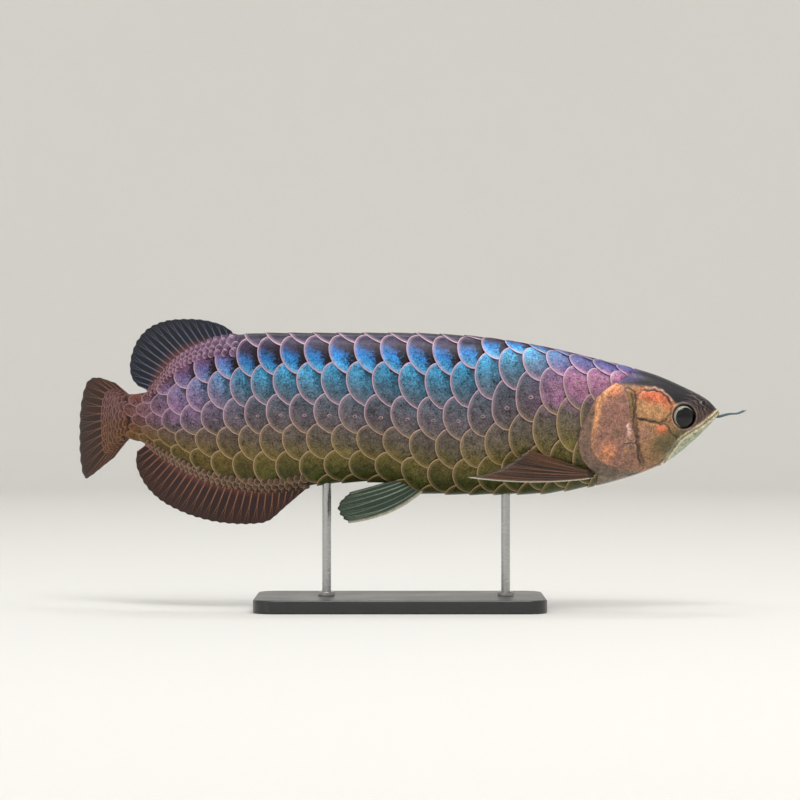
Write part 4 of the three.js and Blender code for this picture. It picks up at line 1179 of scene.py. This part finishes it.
def small_rows():
    """Station, height, half size and lie of the small scales along the fins' bases."""
    found = []
    for fin, rows, pitch, out in SMALL_BANDS:
        line = fin["root"]
        run = np.linalg.norm(line[-1] - line[0])
        for row in range(rows):
            share = ROW_SHIFT / run * (row % 2)
            while share < 1:
                foot = along(line, share)
                step = float(pitch(foot[0]))
                way = along(line, share + 0.02) - along(line, share - 0.02)
                way /= np.linalg.norm(way)
                across = np.array([way[1], -way[0]])
                inward = across if across[1] * out < 0 else -across
                spot = foot + inward * step * (0.1 + 0.74 * row)
                lie = way - 0.55 * inward
                found.append((*spot, 0.6 * step, *(lie / np.linalg.norm(lie))))
                share += step / run
    return np.array(found)


def lobe_rows():
    """Shares down and along the tail fin's base, half size and row height of its scales."""
    found, b = [], -0.02
    for row in range(LOBE_ROWS):
        ends = caudal_spot(np.array([0.0, 1.0]), np.array([b, b]))
        tall = np.linalg.norm(ends[0] - ends[1])
        step = mix(7.0, 3.6, row / (LOBE_ROWS - 1))
        count = int(tall / step)
        for k in range(count):
            share = (k + 0.25 + 0.5 * (row % 2)) / count
            if 0.4 * step < share * tall < tall - 0.4 * step:
                found.append((share, b, 0.6 * step, tall))
        b += 0.72 * step / CAUDAL_LENGTH
    return np.array(found)


def small_rim(turn):
    """Rear rim of a small scale, in half sizes."""
    return np.stack([0.95 * np.cos(turn), np.sin(turn)], -1)


def base_scales(rows, spot, lift, side, generator):
    """Points and colours of the small scales along the dorsal and anal fins' bases."""
    base = np.array(bpy.context.scene.aro_fins.base)
    size = rows[:, 2:3] * generator.uniform(0.9, 1.08, (len(rows), 1))
    lie = rows[:, 3:5] + generator.normal(0, 0.08, (len(rows), 2))
    local = spot[None] * size[:, :, None]
    flat = (rows[:, None, :2] + local[..., :1] * lie[:, None, :]
            + local[..., 1:] * np.stack([-lie[:, 1], lie[:, 0]], 1)[:, None, :])
    upper = flat[..., 1] > 0
    tint = flank_tint(flat[..., 0], np.where(upper, 0.9, 4.2)) * 0.85
    tint = paint(tint, base * 0.7, np.where(upper, 0.35, 0.2))
    return drape(flat[..., 0], flat[..., 1], lift, side), tint


def lobe_scales(rows, spot, lift, side, generator):
    """Points and colours of the small scales on the tail fin's base."""
    size = rows[:, 2:3] * generator.uniform(0.9, 1.08, (len(rows), 1))
    local = spot[None] * size[:, :, None]
    a = rows[:, :1] + local[..., 1] / rows[:, 3:4]
    b = rows[:, 1:2] + local[..., 0] / CAUDAL_LENGTH
    on_fin = np.clip(a, 0, 1)
    flat = caudal_spot(on_fin, b)
    height = flat[..., 1] + (on_fin - a) * rows[:, 3:4]
    half = np.maximum(caudal_half(np.clip(a, 0.03, 0.97), np.clip(b, 0, 1)), 0.35)
    tint = flank_tint(np.full(a.shape, TAIL_END - 6), BELLY_ROW * on_fin) * 0.75
    return stack(flat[..., 0], side * (half + lift), height), tint


def build_small_scales():
    """Small scales along the bases of the dorsal and anal fins and over the tail fin's base."""
    at, faces = slab(7, 4)
    a, b, c = at.T
    turn = mix(-RIM_TURN, RIM_TURN, a)
    b = 1 - (1 - b) ** 1.6
    front = np.stack([-0.9 + 0.3 * np.abs(np.sin(turn)), 0.75 * np.sin(turn)], -1)
    spot = mix(front, small_rim(turn), b[:, None])
    from_rim = distance_to(spot, small_rim(np.linspace(-RIM_TURN, RIM_TURN, 24)))
    rows, lobe = small_rows(), lobe_rows()
    sizes = np.concatenate([rows[:, 2], lobe[:, 2]])[:, None]
    edge = from_rim * sizes / (2 * sizes / TALL_SCALE) ** 0.45
    slope = mix(-0.9, 1.0, b)
    look = finish("Pearly scales", scale_material)
    generator = np.random.default_rng(11)
    for side, word in SIDES:
        body, body_tint = base_scales(
            rows, spot, (0.75 + 0.5 * slope - 0.4 * (1 - c))[None, :], side, generator)
        tail, tail_tint = lobe_scales(
            lobe, spot, (0.15 + 0.4 * slope - 0.35 * (1 - c))[None, :], side, generator)
        points = np.concatenate([body, tail])
        x, count = points[..., 0], len(points)
        mesh = joined(f"small_scales_{word}", bend(points), faces, count)
        set_cells(mesh, two_faced(at), count)
        shade = generator.uniform(0.8, 1.2, (count, 1, 1))
        level = np.where(points[..., 2] > 0, 1.5, 3.4)
        set_tints(mesh, tint=(np.concatenate([body_tint, tail_tint]) * shade).reshape(-1, 3),
                  rim=rim_tint(x, level).reshape(-1, 3) * 0.75, edge=edge.ravel(),
                  gloom=np.full(x.size, 0.3), front=np.broadcast_to(1 - b, x.shape).ravel())
        tidy(mesh)
        show(f"small_scales_{word}", mesh, look)


PORE = np.array([             # share out from a pore's middle, reach and height there
    (0, 0, -0.3), (0.14, 0.5, -0.3), (0.29, 0.8, -0.2), (0.43, 0.95, 0.3), (0.57, 1.2, 0.5),
    (0.72, 1.5, 0.35), (0.86, 1.75, 0), (1, 1.9, -0.5)]).T
PORE_STATIONS = (-215, 172)   # between which the lateral line has its pores


def build_pores():
    """Raised pore of each scale on the lateral line."""
    f = bpy.context.scene.aro_flank
    at, faces = sheet(16, 7)
    a, b = at.T
    reach, high = np.interp(b, PORE[0], PORE[1]), np.interp(b, PORE[0], PORE[2])
    dark = ease(0.5, 0.3, b)
    look = finish("Wet skin", skin_material)
    for side, word in SIDES:
        cells = scale_cells(side)
        middle = COLUMN_STATION(cells[cells[:, 1] == LATERAL_ROW, 0] + 0.1)
        rear, front = PORE_STATIONS
        middle = middle[(middle > rear) & (middle < front)][:, None]
        size = np.interp(middle, [rear, -120, 60], [0.45, 0.8, 1.0])
        x = middle + 1.25 * size * reach * np.cos(2 * np.pi * a)
        z = LATERAL_LINE(middle) + 0.85 * size * reach * np.sin(2 * np.pi * a)
        points = drape(x, z, 0.2 + size * high, side)
        mesh = joined(f"pores_{word}", bend(points), faces, len(middle))
        set_cells(mesh, at, len(middle))
        pale = rim_tint(x, np.full(x.shape, float(LATERAL_ROW))) * 0.75
        set_tints(mesh, tint=mix(pale, np.array(f.spot), dark[None, :, None]).reshape(-1, 3))
        tidy(mesh, 1e-6)
        show(f"pores_{word}", mesh, look)


# Gill covers.

SOFT_RIM = through((-51, 9), (-30, 12), (-12, 10.5), (4, 6), (18, 2.6), (33, 1.5))


def gill_tint(points, inward):
    """Colours of a gill cover, from its place and its distance in from the rear edge, with a
    painted highlight along the bone's edge and a painted shadow line at the rear edge.
    """
    h = bpy.context.scene.aro_head
    cover, peach_and_highlight, soft, red, moss, silver = (np.array(colour) for colour in (
        h.cover, h.peach_and_highlight, h.soft_rim, h.red, h.moss, h.silver))
    z = points[..., 1]
    from_bone = inward - SOFT_RIM(z)
    tint = np.broadcast_to(cover, points.shape[:-1] + (3,)).copy()
    # Gold arc along the bone's edge: the cover's own gold with a painted highlight, fading towards
    # the bottom.
    tint = paint(tint, peach_and_highlight, 0.95 * band(from_bone - 1.8, 3.0) * ease(-34, 6, z))
    tint = paint(tint, peach_and_highlight * 0.8, 0.7 * band(from_bone - 0.6, 1.0) * ease(2, -12, z))
    for patch in (             # colour, centre, reach along and across, share and turn
            (mix(peach_and_highlight, red, 0.3), (185, -27), (7, 9), 0.85, 0),
            (mix(peach_and_highlight, red, 0.5), (191, 26), (8, 6), 0.8, 40),
            (moss * 1.3, (193, -12), (4, 5), 0.5, 0)):
        tint = blot(tint, points, *patch)
    tint = paint(tint, soft, 0.92 * ease(1.5, -1.5, from_bone) * ease(24, 2, z))
    tint = paint(tint, mix(soft, silver, 0.3) * 0.5, 0.75 * ease(-34, -48, z))
    # Painted shadow: a dark line along the rear edge, where the cover overlaps the scales.
    return paint(tint, h.crown, 0.75 * ease(0.9, 0.0, inward))


def build_gill_covers():
    """Gill cover of each side: a bony plate with a soft rim."""
    at, faces = slab(110, 60)
    a, b, c = at.T
    rear = smooth_line(GILL_EDGE, 200)
    front = smooth_line(GILL_FRONT[::-1], 80)
    flat = mix(along(front, a) + [3.0, 0.0], along(rear, a), (1 - (1 - b) ** 1.2)[:, None])
    inward = distance_to(flat, rear)
    from_bone = inward - SOFT_RIM(flat[:, 1])
    bone = ease(-1.0, 1.4, from_bone)
    ripple = 0.1 * np.sin(inward * 2.1 + 2.0 * np.sin(flat[:, 1] * 0.22)) * bone
    top = (1.15 + 0.5 * bone - 0.22 * band(from_bone + 0.8, 0.8) + ripple
           - 0.4 * ease(1.1, 0.0, inward))
    under = top - mix(0.5, 2.0, ease(0.0, 8.0, inward))
    look = finish("Wet skin", skin_material)
    for side, word in SIDES:
        points = drape(flat[:, 0], flat[:, 1], np.where(c > 0.5, top, under), side)
        mesh = joined(f"gill_plate_{word}", bend(points), faces)
        set_sheet(mesh, at)
        set_tints(mesh, tint=gill_tint(flat, inward))
        tidy(mesh)
        show(f"gill_plate_{word}", mesh, look, [f"gill_cover_{word}"])


# Eyes and barbels.

EYE_RINGS, EYE_STEPS = 16, 64
PUPIL_SHIFT = 0.8             # how far the pupil lies ahead of and below the eye's middle


def build_eyes():
    """Domed eyes in their sockets."""
    look = finish("Eye", eye_material)
    radius = bpy.context.scene.aro_head.eye_radius / MM
    around = np.array([EYE["x"], EYE["x"] + 1])
    half = np.abs(drape(around, np.full(2, EYE["z"]), 0.0, RIGHT)[:, 1])
    outward = Vector((half[0] - half[1], 1.0, 0.0)).normalized()
    turned = Vector((0, 1, 0)).rotation_difference(outward).to_matrix()
    place_at = Vector((EYE["x"], half[0], EYE["z"] + AXIS_HEIGHT))
    depth, sink = EYE["depth"], EYE["sink"]
    outline = [(0.0, -sink, 0.0)]
    outline += [(radius * math.cos(t), depth * math.sin(t) - sink, 0.0)
                for t in np.linspace(0, math.pi / 2, EYE_RINGS, endpoint=False)]
    outline.append((0.0, depth - sink, 0.0))
    for side, word in SIDES:
        bm = spun(outline, (0, 1, 0), EYE_STEPS, 1e-4)
        local = np.array([v.co[:] for v in bm.verts])
        for vert in bm.verts:
            p = turned @ vert.co + place_at
            vert.co = Vector((p.x, p.y * side, p.z)) * MM
        mesh = settled(bm, f"eyeball_{word}")
        set_tints(mesh, ring=np.hypot(local[:, 0], local[:, 2]),
                  pupil=np.hypot(local[:, 0] - PUPIL_SHIFT, local[:, 2] + PUPIL_SHIFT))
        show(f"eyeball_{word}", mesh, look, [f"eye_{word}"])


BARBEL_PATH = [(283.5, 3.2, 2.7), (288, 3.8, 3.4), (296, 5.6, 5.4), (304, 7.5, 6), (311, 8.6, 9)]
BARBEL_ROOT, BARBEL_TIP = 1.3, 0.5


def build_barbels():
    """Tapered barbels at the tip of the chin."""
    f = bpy.context.scene.aro_fins
    around, length = 16, 36
    at, faces = sheet(around, length)
    line = smooth_line(BARBEL_PATH, 120)
    turn = 2 * np.pi * at[:, 0]
    end = np.clip(np.minimum(at[:, 1] * 12, (1 - at[:, 1]) * 14), 0, 1) ** 0.5
    rings = 1 + 0.04 * np.sin(at[:, 1] * 90)
    size = mix(BARBEL_ROOT, BARBEL_TIP, at[:, 1]) * end * rings
    middle = along(line, at[:, 1])
    look = finish("Barbel skin", barbel_material)
    for side, word in SIDES:
        points = stack(middle[:, 0], side * (middle[:, 1] + size * np.cos(turn)),
                       middle[:, 2] + size * np.sin(turn))
        mesh = joined(f"feeler_{word}", bend(points), faces)
        set_map(mesh, at)
        tint = mix(np.array(f.barbel) * 0.7, np.array(f.barbel) * 1.4, at[:, 1:2])
        set_tints(mesh, tint=tint)
        tidy(mesh, 1e-6)
        show(f"feeler_{word}", mesh, look, [f"barbel_{word}"])


# Fins.

def median_spot(fin, a, b):
    """Middle of the dorsal or anal fin: a runs along its root, b out from inside the body."""
    foot, tip = along(fin["root"], a), along(fin["margin"], a)
    way = tip - foot
    span = np.linalg.norm(way, axis=-1)
    flat = foot + way * (mix(-SINK, span, b) / span)[..., None]
    sway = 0.9 * b**2 * np.sin(9 * a + 0.7)
    return stack(flat[..., 0], sway, flat[..., 1])


def paired_spot(fin, side, a, b):
    """Middle of a pectoral or pelvic fin, with its sag."""
    foot, tip = along(fin["root"], a), along(fin["margin"], a)
    way = (tip - foot) / np.linalg.norm(tip - foot, axis=-1, keepdims=True)
    middle = mix(foot - way * SINK, tip, b[..., None])
    middle = middle + np.array(fin["sag"]) * (4 * b * (1 - b) * (1 - a))[..., None]
    middle[..., 1] *= side
    return middle


def paired_normal(fin, side):
    across = fin["root"][-1] - fin["root"][0]
    out = along(fin["margin"], np.array(0.5)) - along(fin["root"], np.array(0.5))
    normal = np.cross(across, out)
    normal /= np.linalg.norm(normal)
    return normal * [1, side, 1]


WEB_COLUMNS, WEB_ROWS = 6, 18   # faces of a web between two rays, and out to its margin
RAY_AROUND, RAY_LENGTH = 8, 26  # faces round a branch of a ray, and along it


def build_fin(name, spot, normal, rays, halves, tints, replaces, start=0.0):
    """Membrane and branching rays of one fin.

    spot gives the middle surface at shares a and b, halves the half thickness of ray and
    membrane at root and tip, and tints the colours of membrane and ray at a and b.
    """
    ray_root, ray_tip, web_root, web_tip = halves
    at, faces = slab(rays * WEB_COLUMNS, WEB_ROWS)
    a, b, c = at.T
    waver = np.sin(np.pi * rays * a) ** 2
    b = mix(start, 1 - 0.022 * (0.4 + waver), b)
    thick = mix(web_root, web_tip, ease(0, 0.45, b)) * (1 - 0.25 * waver)
    points = spot(a, b) + np.array(normal) * (thick * (2 * c - 1))[:, None]
    mesh = joined(f"{name}_web", bend(points), faces)
    set_sheet(mesh, at)
    set_tints(mesh, tint=tints(a, b)[0], reach=b)
    tidy(mesh)
    show(f"{name}_web", mesh, finish("Fin membrane", web_material), replaces)

    # Each ray has four branches, which run as one, then as two, then apart.
    at, faces = sheet(RAY_AROUND, RAY_LENGTH)
    share = np.linspace(start + 0.01, 1.0, RAY_LENGTH + 1)
    gap = 0.5 / rays
    first = ease(0.42, 1.0, share) * 0.42 + 0.04
    second = ease(0.62, 1.05, share) * 0.26 + 0.02
    paths = [(k / rays, one, two) for k in range(rays + 1) for one in (-1, 1) for two in (-1, 1)]
    k, one, two = np.array(paths).T[:, :, None]
    a = np.clip(k + gap * (one * first + two * second) * np.where((k > 0) & (k < 1), 1, 0.5), 0, 1)
    b = np.broadcast_to(share, a.shape) * (0.993 - 0.012 * (two > 0))
    middle = spot(a, b)
    way = np.gradient(middle, axis=1)
    way /= np.linalg.norm(way, axis=-1, keepdims=True)
    beside = np.cross(way, np.array(normal))
    beside /= np.linalg.norm(beside, axis=-1, keepdims=True)
    step = np.arange(RAY_LENGTH + 1)
    end = np.clip(np.minimum(step, RAY_LENGTH - step) / 1.5, 0, 1) ** 0.5
    high = mix(ray_root, ray_tip, b) * end
    wide = mix(0.62 * ray_root, 0.6 * ray_tip, ease(0, 0.8, b)) * end
    ring = np.round(at[:, 1] * RAY_LENGTH).astype(int)
    turn = 2 * np.pi * at[:, 0]
    points = (middle[:, ring] + np.array(normal) * (high[:, ring] * np.cos(turn))[..., None]
              + beside[:, ring] * (wide[:, ring] * np.sin(turn))[..., None])
    run = np.concatenate([np.zeros((len(paths), 1)), np.cumsum(
        np.linalg.norm(np.diff(middle, axis=1), axis=2), 1)], 1)
    mesh = joined(f"{name}_rays", bend(points), faces, len(paths))
    set_cells(mesh, at, len(paths))
    tint = tints(a[:, ring], b[:, ring])[1]
    set_tints(mesh, tint=tint.reshape(-1, 3), run=run[:, ring].ravel())
    tidy(mesh, 1e-6)
    show(f"{name}_rays", mesh, finish("Fin rays", ray_material))


def shaded_fin(web, ray, base, base_reach, fall=0.55):
    """Colours of an unpaired fin, which has a red base and darkens to its margin."""
    web, ray, base = np.array(web), np.array(ray), np.array(base)

    def tints(a, b):
        low = ease(base_reach, 0.04, b)[..., None]
        dim = (1 - fall * ease(0.3, 1.0, b))[..., None]
        streak = (1 + 0.25 * np.sin(47 * a + 3 * np.sin(19 * a)))[..., None]
        return mix(web * streak, base * 0.7, 0.8 * low), mix(ray * dim, base, 0.7 * low)
    return tints


def build_median_fins():
    """Dorsal, anal and tail fins."""
    f = bpy.context.scene.aro_fins
    flat = (0.0, 1.0, 0.0)
    for name, fin, web, ray, base_reach, slot in (
            ("dorsal", DORSAL, f.dark, f.cool_ray, 0.34, "dark_fin"),
            ("anal", ANAL, f.red, f.ray, 0.3, "red_fin")):
        build_fin(name, lambda a, b: median_spot(fin, a, b), flat, fin["rays"],
                  (0.95, 0.3, 0.42, 0.2), shaded_fin(web, ray, f.base, base_reach),
                  [f"fin_{name}"])

    def tail(a, b):
        spot = caudal_spot(a, b)
        return stack(spot[..., 0], 0.8 * b**2 * np.sin(8 * a), spot[..., 1])
    build_fin("tail", tail, flat, CAUDAL_RAYS, (0.8, 0.3, 0.4, 0.2),
              shaded_fin(f.orange, f.ray, f.base, 0.5), ["fin_caudal"], start=0.2)


def streaked_fin(web, dark, ray, lead):
    """Colours of a paired fin: dark streaks of painted shade between the rays and a painted
    highlight on the leading ray.
    """
    web, dark, ray, lead = (np.array(c) for c in (web, dark, ray, lead))

    def tints(a, b):
        # Painted shade: dark streaks between the rays.
        streak = 0.5 + 0.5 * np.sin(26 * a + 2.2 * np.sin(9 * a + 2 * b))
        # Painted highlight along the thick leading ray.
        first = ease(0.1, 0.03, a)
        return (paint(paint(web, dark, 0.85 * streak), lead, 0.6 * first),
                paint(paint(ray, dark, 0.7 * streak), lead, 0.9 * first))
    return tints


def build_paired_fins():
    """Pectoral and pelvic fins."""
    f = bpy.context.scene.aro_fins
    fins = (                   # name, shape, half thickness of rays and web, colours and slot
        ("pectoral", PECTORAL, (1.3, 0.35, 1.0, 0.22),
         streaked_fin(f.brown, f.brown_shade_streak, f.brown_ray, f.leading_ray_highlight), "red_fin"),
        ("pelvic", PELVIC, (1.1, 0.32, 0.9, 0.2),
         streaked_fin(f.green, f.green_shade_streak, f.green_ray, f.leading_ray_highlight), "pale_fin"))
    for side, word in SIDES:
        for name, fin, halves, tints, slot in fins:
            build_fin(f"{name}_{word}", lambda a, b: paired_spot(fin, side, a, b),
                      paired_normal(fin, side), fin["rays"], halves, tints,
                      [f"fin_{name}_{word}"])


# Stand.

STAND = {"length": 260.0, "width": 130.0, "thick": 12.0, "bevel": 1.5, "rod": 4.0, "sink": 5.0}
RODS = {"front": 95.0, "rear": -66.0}   # station of each rod
COLLAR = [                    # outline of a rod's collar: out from the rod, over the base
    (0, -0.05), (3, -0.05), (3.4, 0.4), (3.4, 3.0), (2.8, 3.6), (0.3, 3.9), (0, 3.6)]


def build_stand():
    """Rounded base with two rods, each in a low collar."""
    s = bpy.context.scene.aro_stand
    bm = bmesh.new()
    bmesh.ops.create_cube(bm, size=1.0)
    bmesh.ops.scale(bm, vec=(STAND["length"] * MM, STAND["width"] * MM, STAND["thick"] * MM),
                    verts=bm.verts)
    bmesh.ops.translate(bm, vec=(0, 0, STAND["thick"] / 2 * MM), verts=bm.verts)
    upright = [e for e in bm.edges if abs(e.verts[0].co.z - e.verts[1].co.z) > MM]
    bmesh.ops.bevel(bm, geom=upright, offset=s.corner, offset_type="OFFSET", segments=14,
                    profile=0.5, material=-1, affect="EDGES")
    level = [e for e in bm.edges if abs(e.verts[0].co.z - e.verts[1].co.z) < 1e-6
             and len(e.link_faces) == 2 and e.calc_face_angle(0) > 1]
    bmesh.ops.bevel(bm, geom=level, offset=STAND["bevel"] * MM, offset_type="OFFSET", segments=4,
                    profile=0.5, material=-1, affect="EDGES")
    mesh = settled(bm, "base_plate")
    show("base_plate", mesh, finish("Satin lacquer", lacquer_material), ["stand_base"],
         smooth=False)

    look = finish("Brushed steel", steel_material)
    rod, foot = STAND["rod"], STAND["thick"]
    low = foot - STAND["sink"]
    for word, x in RODS.items():
        high = AXIS_HEIGHT + float(BELLY(x)) + STAND["sink"]
        outline = [(0, low), (rod, low), *((rod + r, foot + z) for r, z in COLLAR),
                   (rod, high), (0, high)]
        bm = spun([(r * MM, 0, z * MM) for r, z in outline], (0, 0, 1), 56, 1e-6)
        bmesh.ops.translate(bm, vec=(x * MM, 0, 0), verts=bm.verts)
        mesh = settled(bm, f"support_{word}")
        show(f"support_{word}", mesh, look, [f"stand_rod_{word}"])
        mesh.set_sharp_from_angle(angle=math.radians(35))


# Stage.

BOWL = {"flat": 3.4, "curve": 1.2, "top": 5.0}   # radii and height, in metres
DAYLIGHT = {"Color": (0.9, 0.93, 1.0, 1.0), "Strength": 0.3}
FISH = (0.0, 0.0, 0.18)       # middle of the fish, at which lamps aim
LAMPS = [                     # name, place, aim, size and power
    ("key", (0.3, -0.95, 2.1), FISH, 1.3, 24.0),
    ("fill", (-1.7, -2.1, 0.6), FISH, 1.6, 4.0),
    ("top", (0.0, 0.6, 1.8), FISH, 1.3, 3.5)]
LAMPS += [(f"wall_{k}", (1.4 * math.cos(t), 1.4 * math.sin(t), 3.4),
           (4.5 * math.cos(t), 4.5 * math.sin(t), 0.8), 1.4, 55.0)
          for k, t in enumerate(np.arange(4) * math.pi / 2)]


def build_stage():
    """Round floor that curves up into a backdrop all round, soft lights and the camera."""
    s = bpy.context.scene.aro_stage
    flat, curve = BOWL["flat"], BOWL["curve"]
    outline = [(0.0, 0.0, 0.0), (flat, 0.0, 0.0)]
    outline += [(flat + curve * math.sin(t), 0.0, curve - curve * math.cos(t))
                for t in np.linspace(0.1, math.pi / 2, 14)]
    outline.append((flat + curve, 0.0, BOWL["top"]))
    mesh = settled(spun(outline, (0, 0, 1), 96, 1e-5), "backdrop")
    mesh.polygons.foreach_set("use_smooth", [True] * len(mesh.polygons))
    floor = bpy.data.objects.new("backdrop", mesh)
    bpy.context.scene.collection.objects.link(floor)
    mesh.materials.append(floor_material())

    for name, spot, aim, size, power in LAMPS:
        light = bpy.data.lights.new(name, "AREA")
        light.energy, light.size = power, size
        lamp = bpy.data.objects.new(name, light)
        lamp.location = spot
        lamp.rotation_euler = (Vector(aim) - Vector(spot)).to_track_quat("-Z", "Y").to_euler()
        lamp.visible_camera = False
        bpy.context.scene.collection.objects.link(lamp)
    world = bpy.data.worlds.new("Studio")
    world.use_nodes = True
    for socket, value in DAYLIGHT.items():
        world.node_tree.nodes["Background"].inputs[socket].default_value = value
    bpy.context.scene.world = world
    bpy.context.scene.view_settings.view_transform = "Standard"

    camera = bpy.data.cameras.new("camera")
    camera.sensor_width = 36.0
    camera.lens = 36.0 * s.distance / s.view_width
    eye = bpy.data.objects.new("camera", camera)
    eye.location = (0.0, -s.distance, s.height)
    eye.rotation_euler = (math.pi / 2, 0, 0)
    bpy.context.scene.collection.objects.link(eye)
    bpy.context.scene.camera = eye


# Operators.

class ARO_OT_stage(bpy.types.Operator):
    """Build the floor, the lights and the camera"""
    bl_idname = "arowana.stage"
    bl_label = "Stage"

    def execute(self, context):
        build_stage()
        return {"FINISHED"}


class ARO_OT_skin(bpy.types.Operator):
    """Build the one skin of body, head and jaw"""
    bl_idname = "arowana.skin"
    bl_label = "Skin"

    def execute(self, context):
        build_skin()
        return {"FINISHED"}


class ARO_OT_scales(bpy.types.Operator):
    """Build the large scales"""
    bl_idname = "arowana.scales"
    bl_label = "Large Scales"

    def execute(self, context):
        build_scales()
        return {"FINISHED"}


class ARO_OT_small_scales(bpy.types.Operator):
    """Build the small scales and the pores of the lateral line"""
    bl_idname = "arowana.small_scales"
    bl_label = "Small Scales and Pores"

    def execute(self, context):
        build_small_scales()
        build_pores()
        return {"FINISHED"}


class ARO_OT_gill_covers(bpy.types.Operator):
    """Build the gill covers"""
    bl_idname = "arowana.gill_covers"
    bl_label = "Gill Covers"

    def execute(self, context):
        build_gill_covers()
        return {"FINISHED"}


class ARO_OT_eyes(bpy.types.Operator):
    """Build the eyes and the barbels"""
    bl_idname = "arowana.eyes"
    bl_label = "Eyes and Barbels"

    def execute(self, context):
        build_eyes()
        build_barbels()
        return {"FINISHED"}


class ARO_OT_median_fins(bpy.types.Operator):
    """Build the dorsal, anal and tail fins"""
    bl_idname = "arowana.median_fins"
    bl_label = "Dorsal, Anal and Tail Fins"

    def execute(self, context):
        build_median_fins()
        return {"FINISHED"}


class ARO_OT_paired_fins(bpy.types.Operator):
    """Build the pectoral and pelvic fins"""
    bl_idname = "arowana.paired_fins"
    bl_label = "Paired Fins"

    def execute(self, context):
        build_paired_fins()
        return {"FINISHED"}


class ARO_OT_stand(bpy.types.Operator):
    """Build the display stand"""
    bl_idname = "arowana.stand"
    bl_label = "Stand"

    def execute(self, context):
        build_stand()
        return {"FINISHED"}


STEPS = [ARO_OT_stage, ARO_OT_skin, ARO_OT_scales, ARO_OT_small_scales, ARO_OT_gill_covers,
         ARO_OT_eyes, ARO_OT_median_fins, ARO_OT_paired_fins, ARO_OT_stand]
GROUPS = {"aro_flank": ARO_PG_flank, "aro_head": ARO_PG_head, "aro_fins": ARO_PG_fins,
          "aro_stand": ARO_PG_stand, "aro_stage": ARO_PG_stage}


class ARO_PT_panel(bpy.types.Panel):
    """Settings and steps of the arowana model"""
    bl_idname = "ARO_PT_panel"
    bl_label = "Arowana Model"
    bl_space_type = "VIEW_3D"
    bl_region_type = "UI"
    bl_category = "Arowana"

    def draw(self, context):
        for name, group in GROUPS.items():
            box = self.layout.box()
            for field in group.__annotations__:
                box.prop(getattr(context.scene, name), field)
        for step in STEPS:
            self.layout.operator(step.bl_idname)


def register():
    for group in GROUPS.values():
        bpy.utils.register_class(group)
    for name, group in GROUPS.items():
        setattr(bpy.types.Scene, name, PointerProperty(type=group))
    for step in (*STEPS, ARO_PT_panel):
        bpy.utils.register_class(step)


def unregister():
    for step in (ARO_PT_panel, *reversed(STEPS)):
        bpy.utils.unregister_class(step)
    for name in GROUPS:
        delattr(bpy.types.Scene, name)
    for group in reversed(GROUPS.values()):
        bpy.utils.unregister_class(group)


def main():
    register()
    for step in STEPS:
        family, name = step.bl_idname.split(".")
        getattr(getattr(bpy.ops, family), name)()


if __name__ == "__main__":
    main()
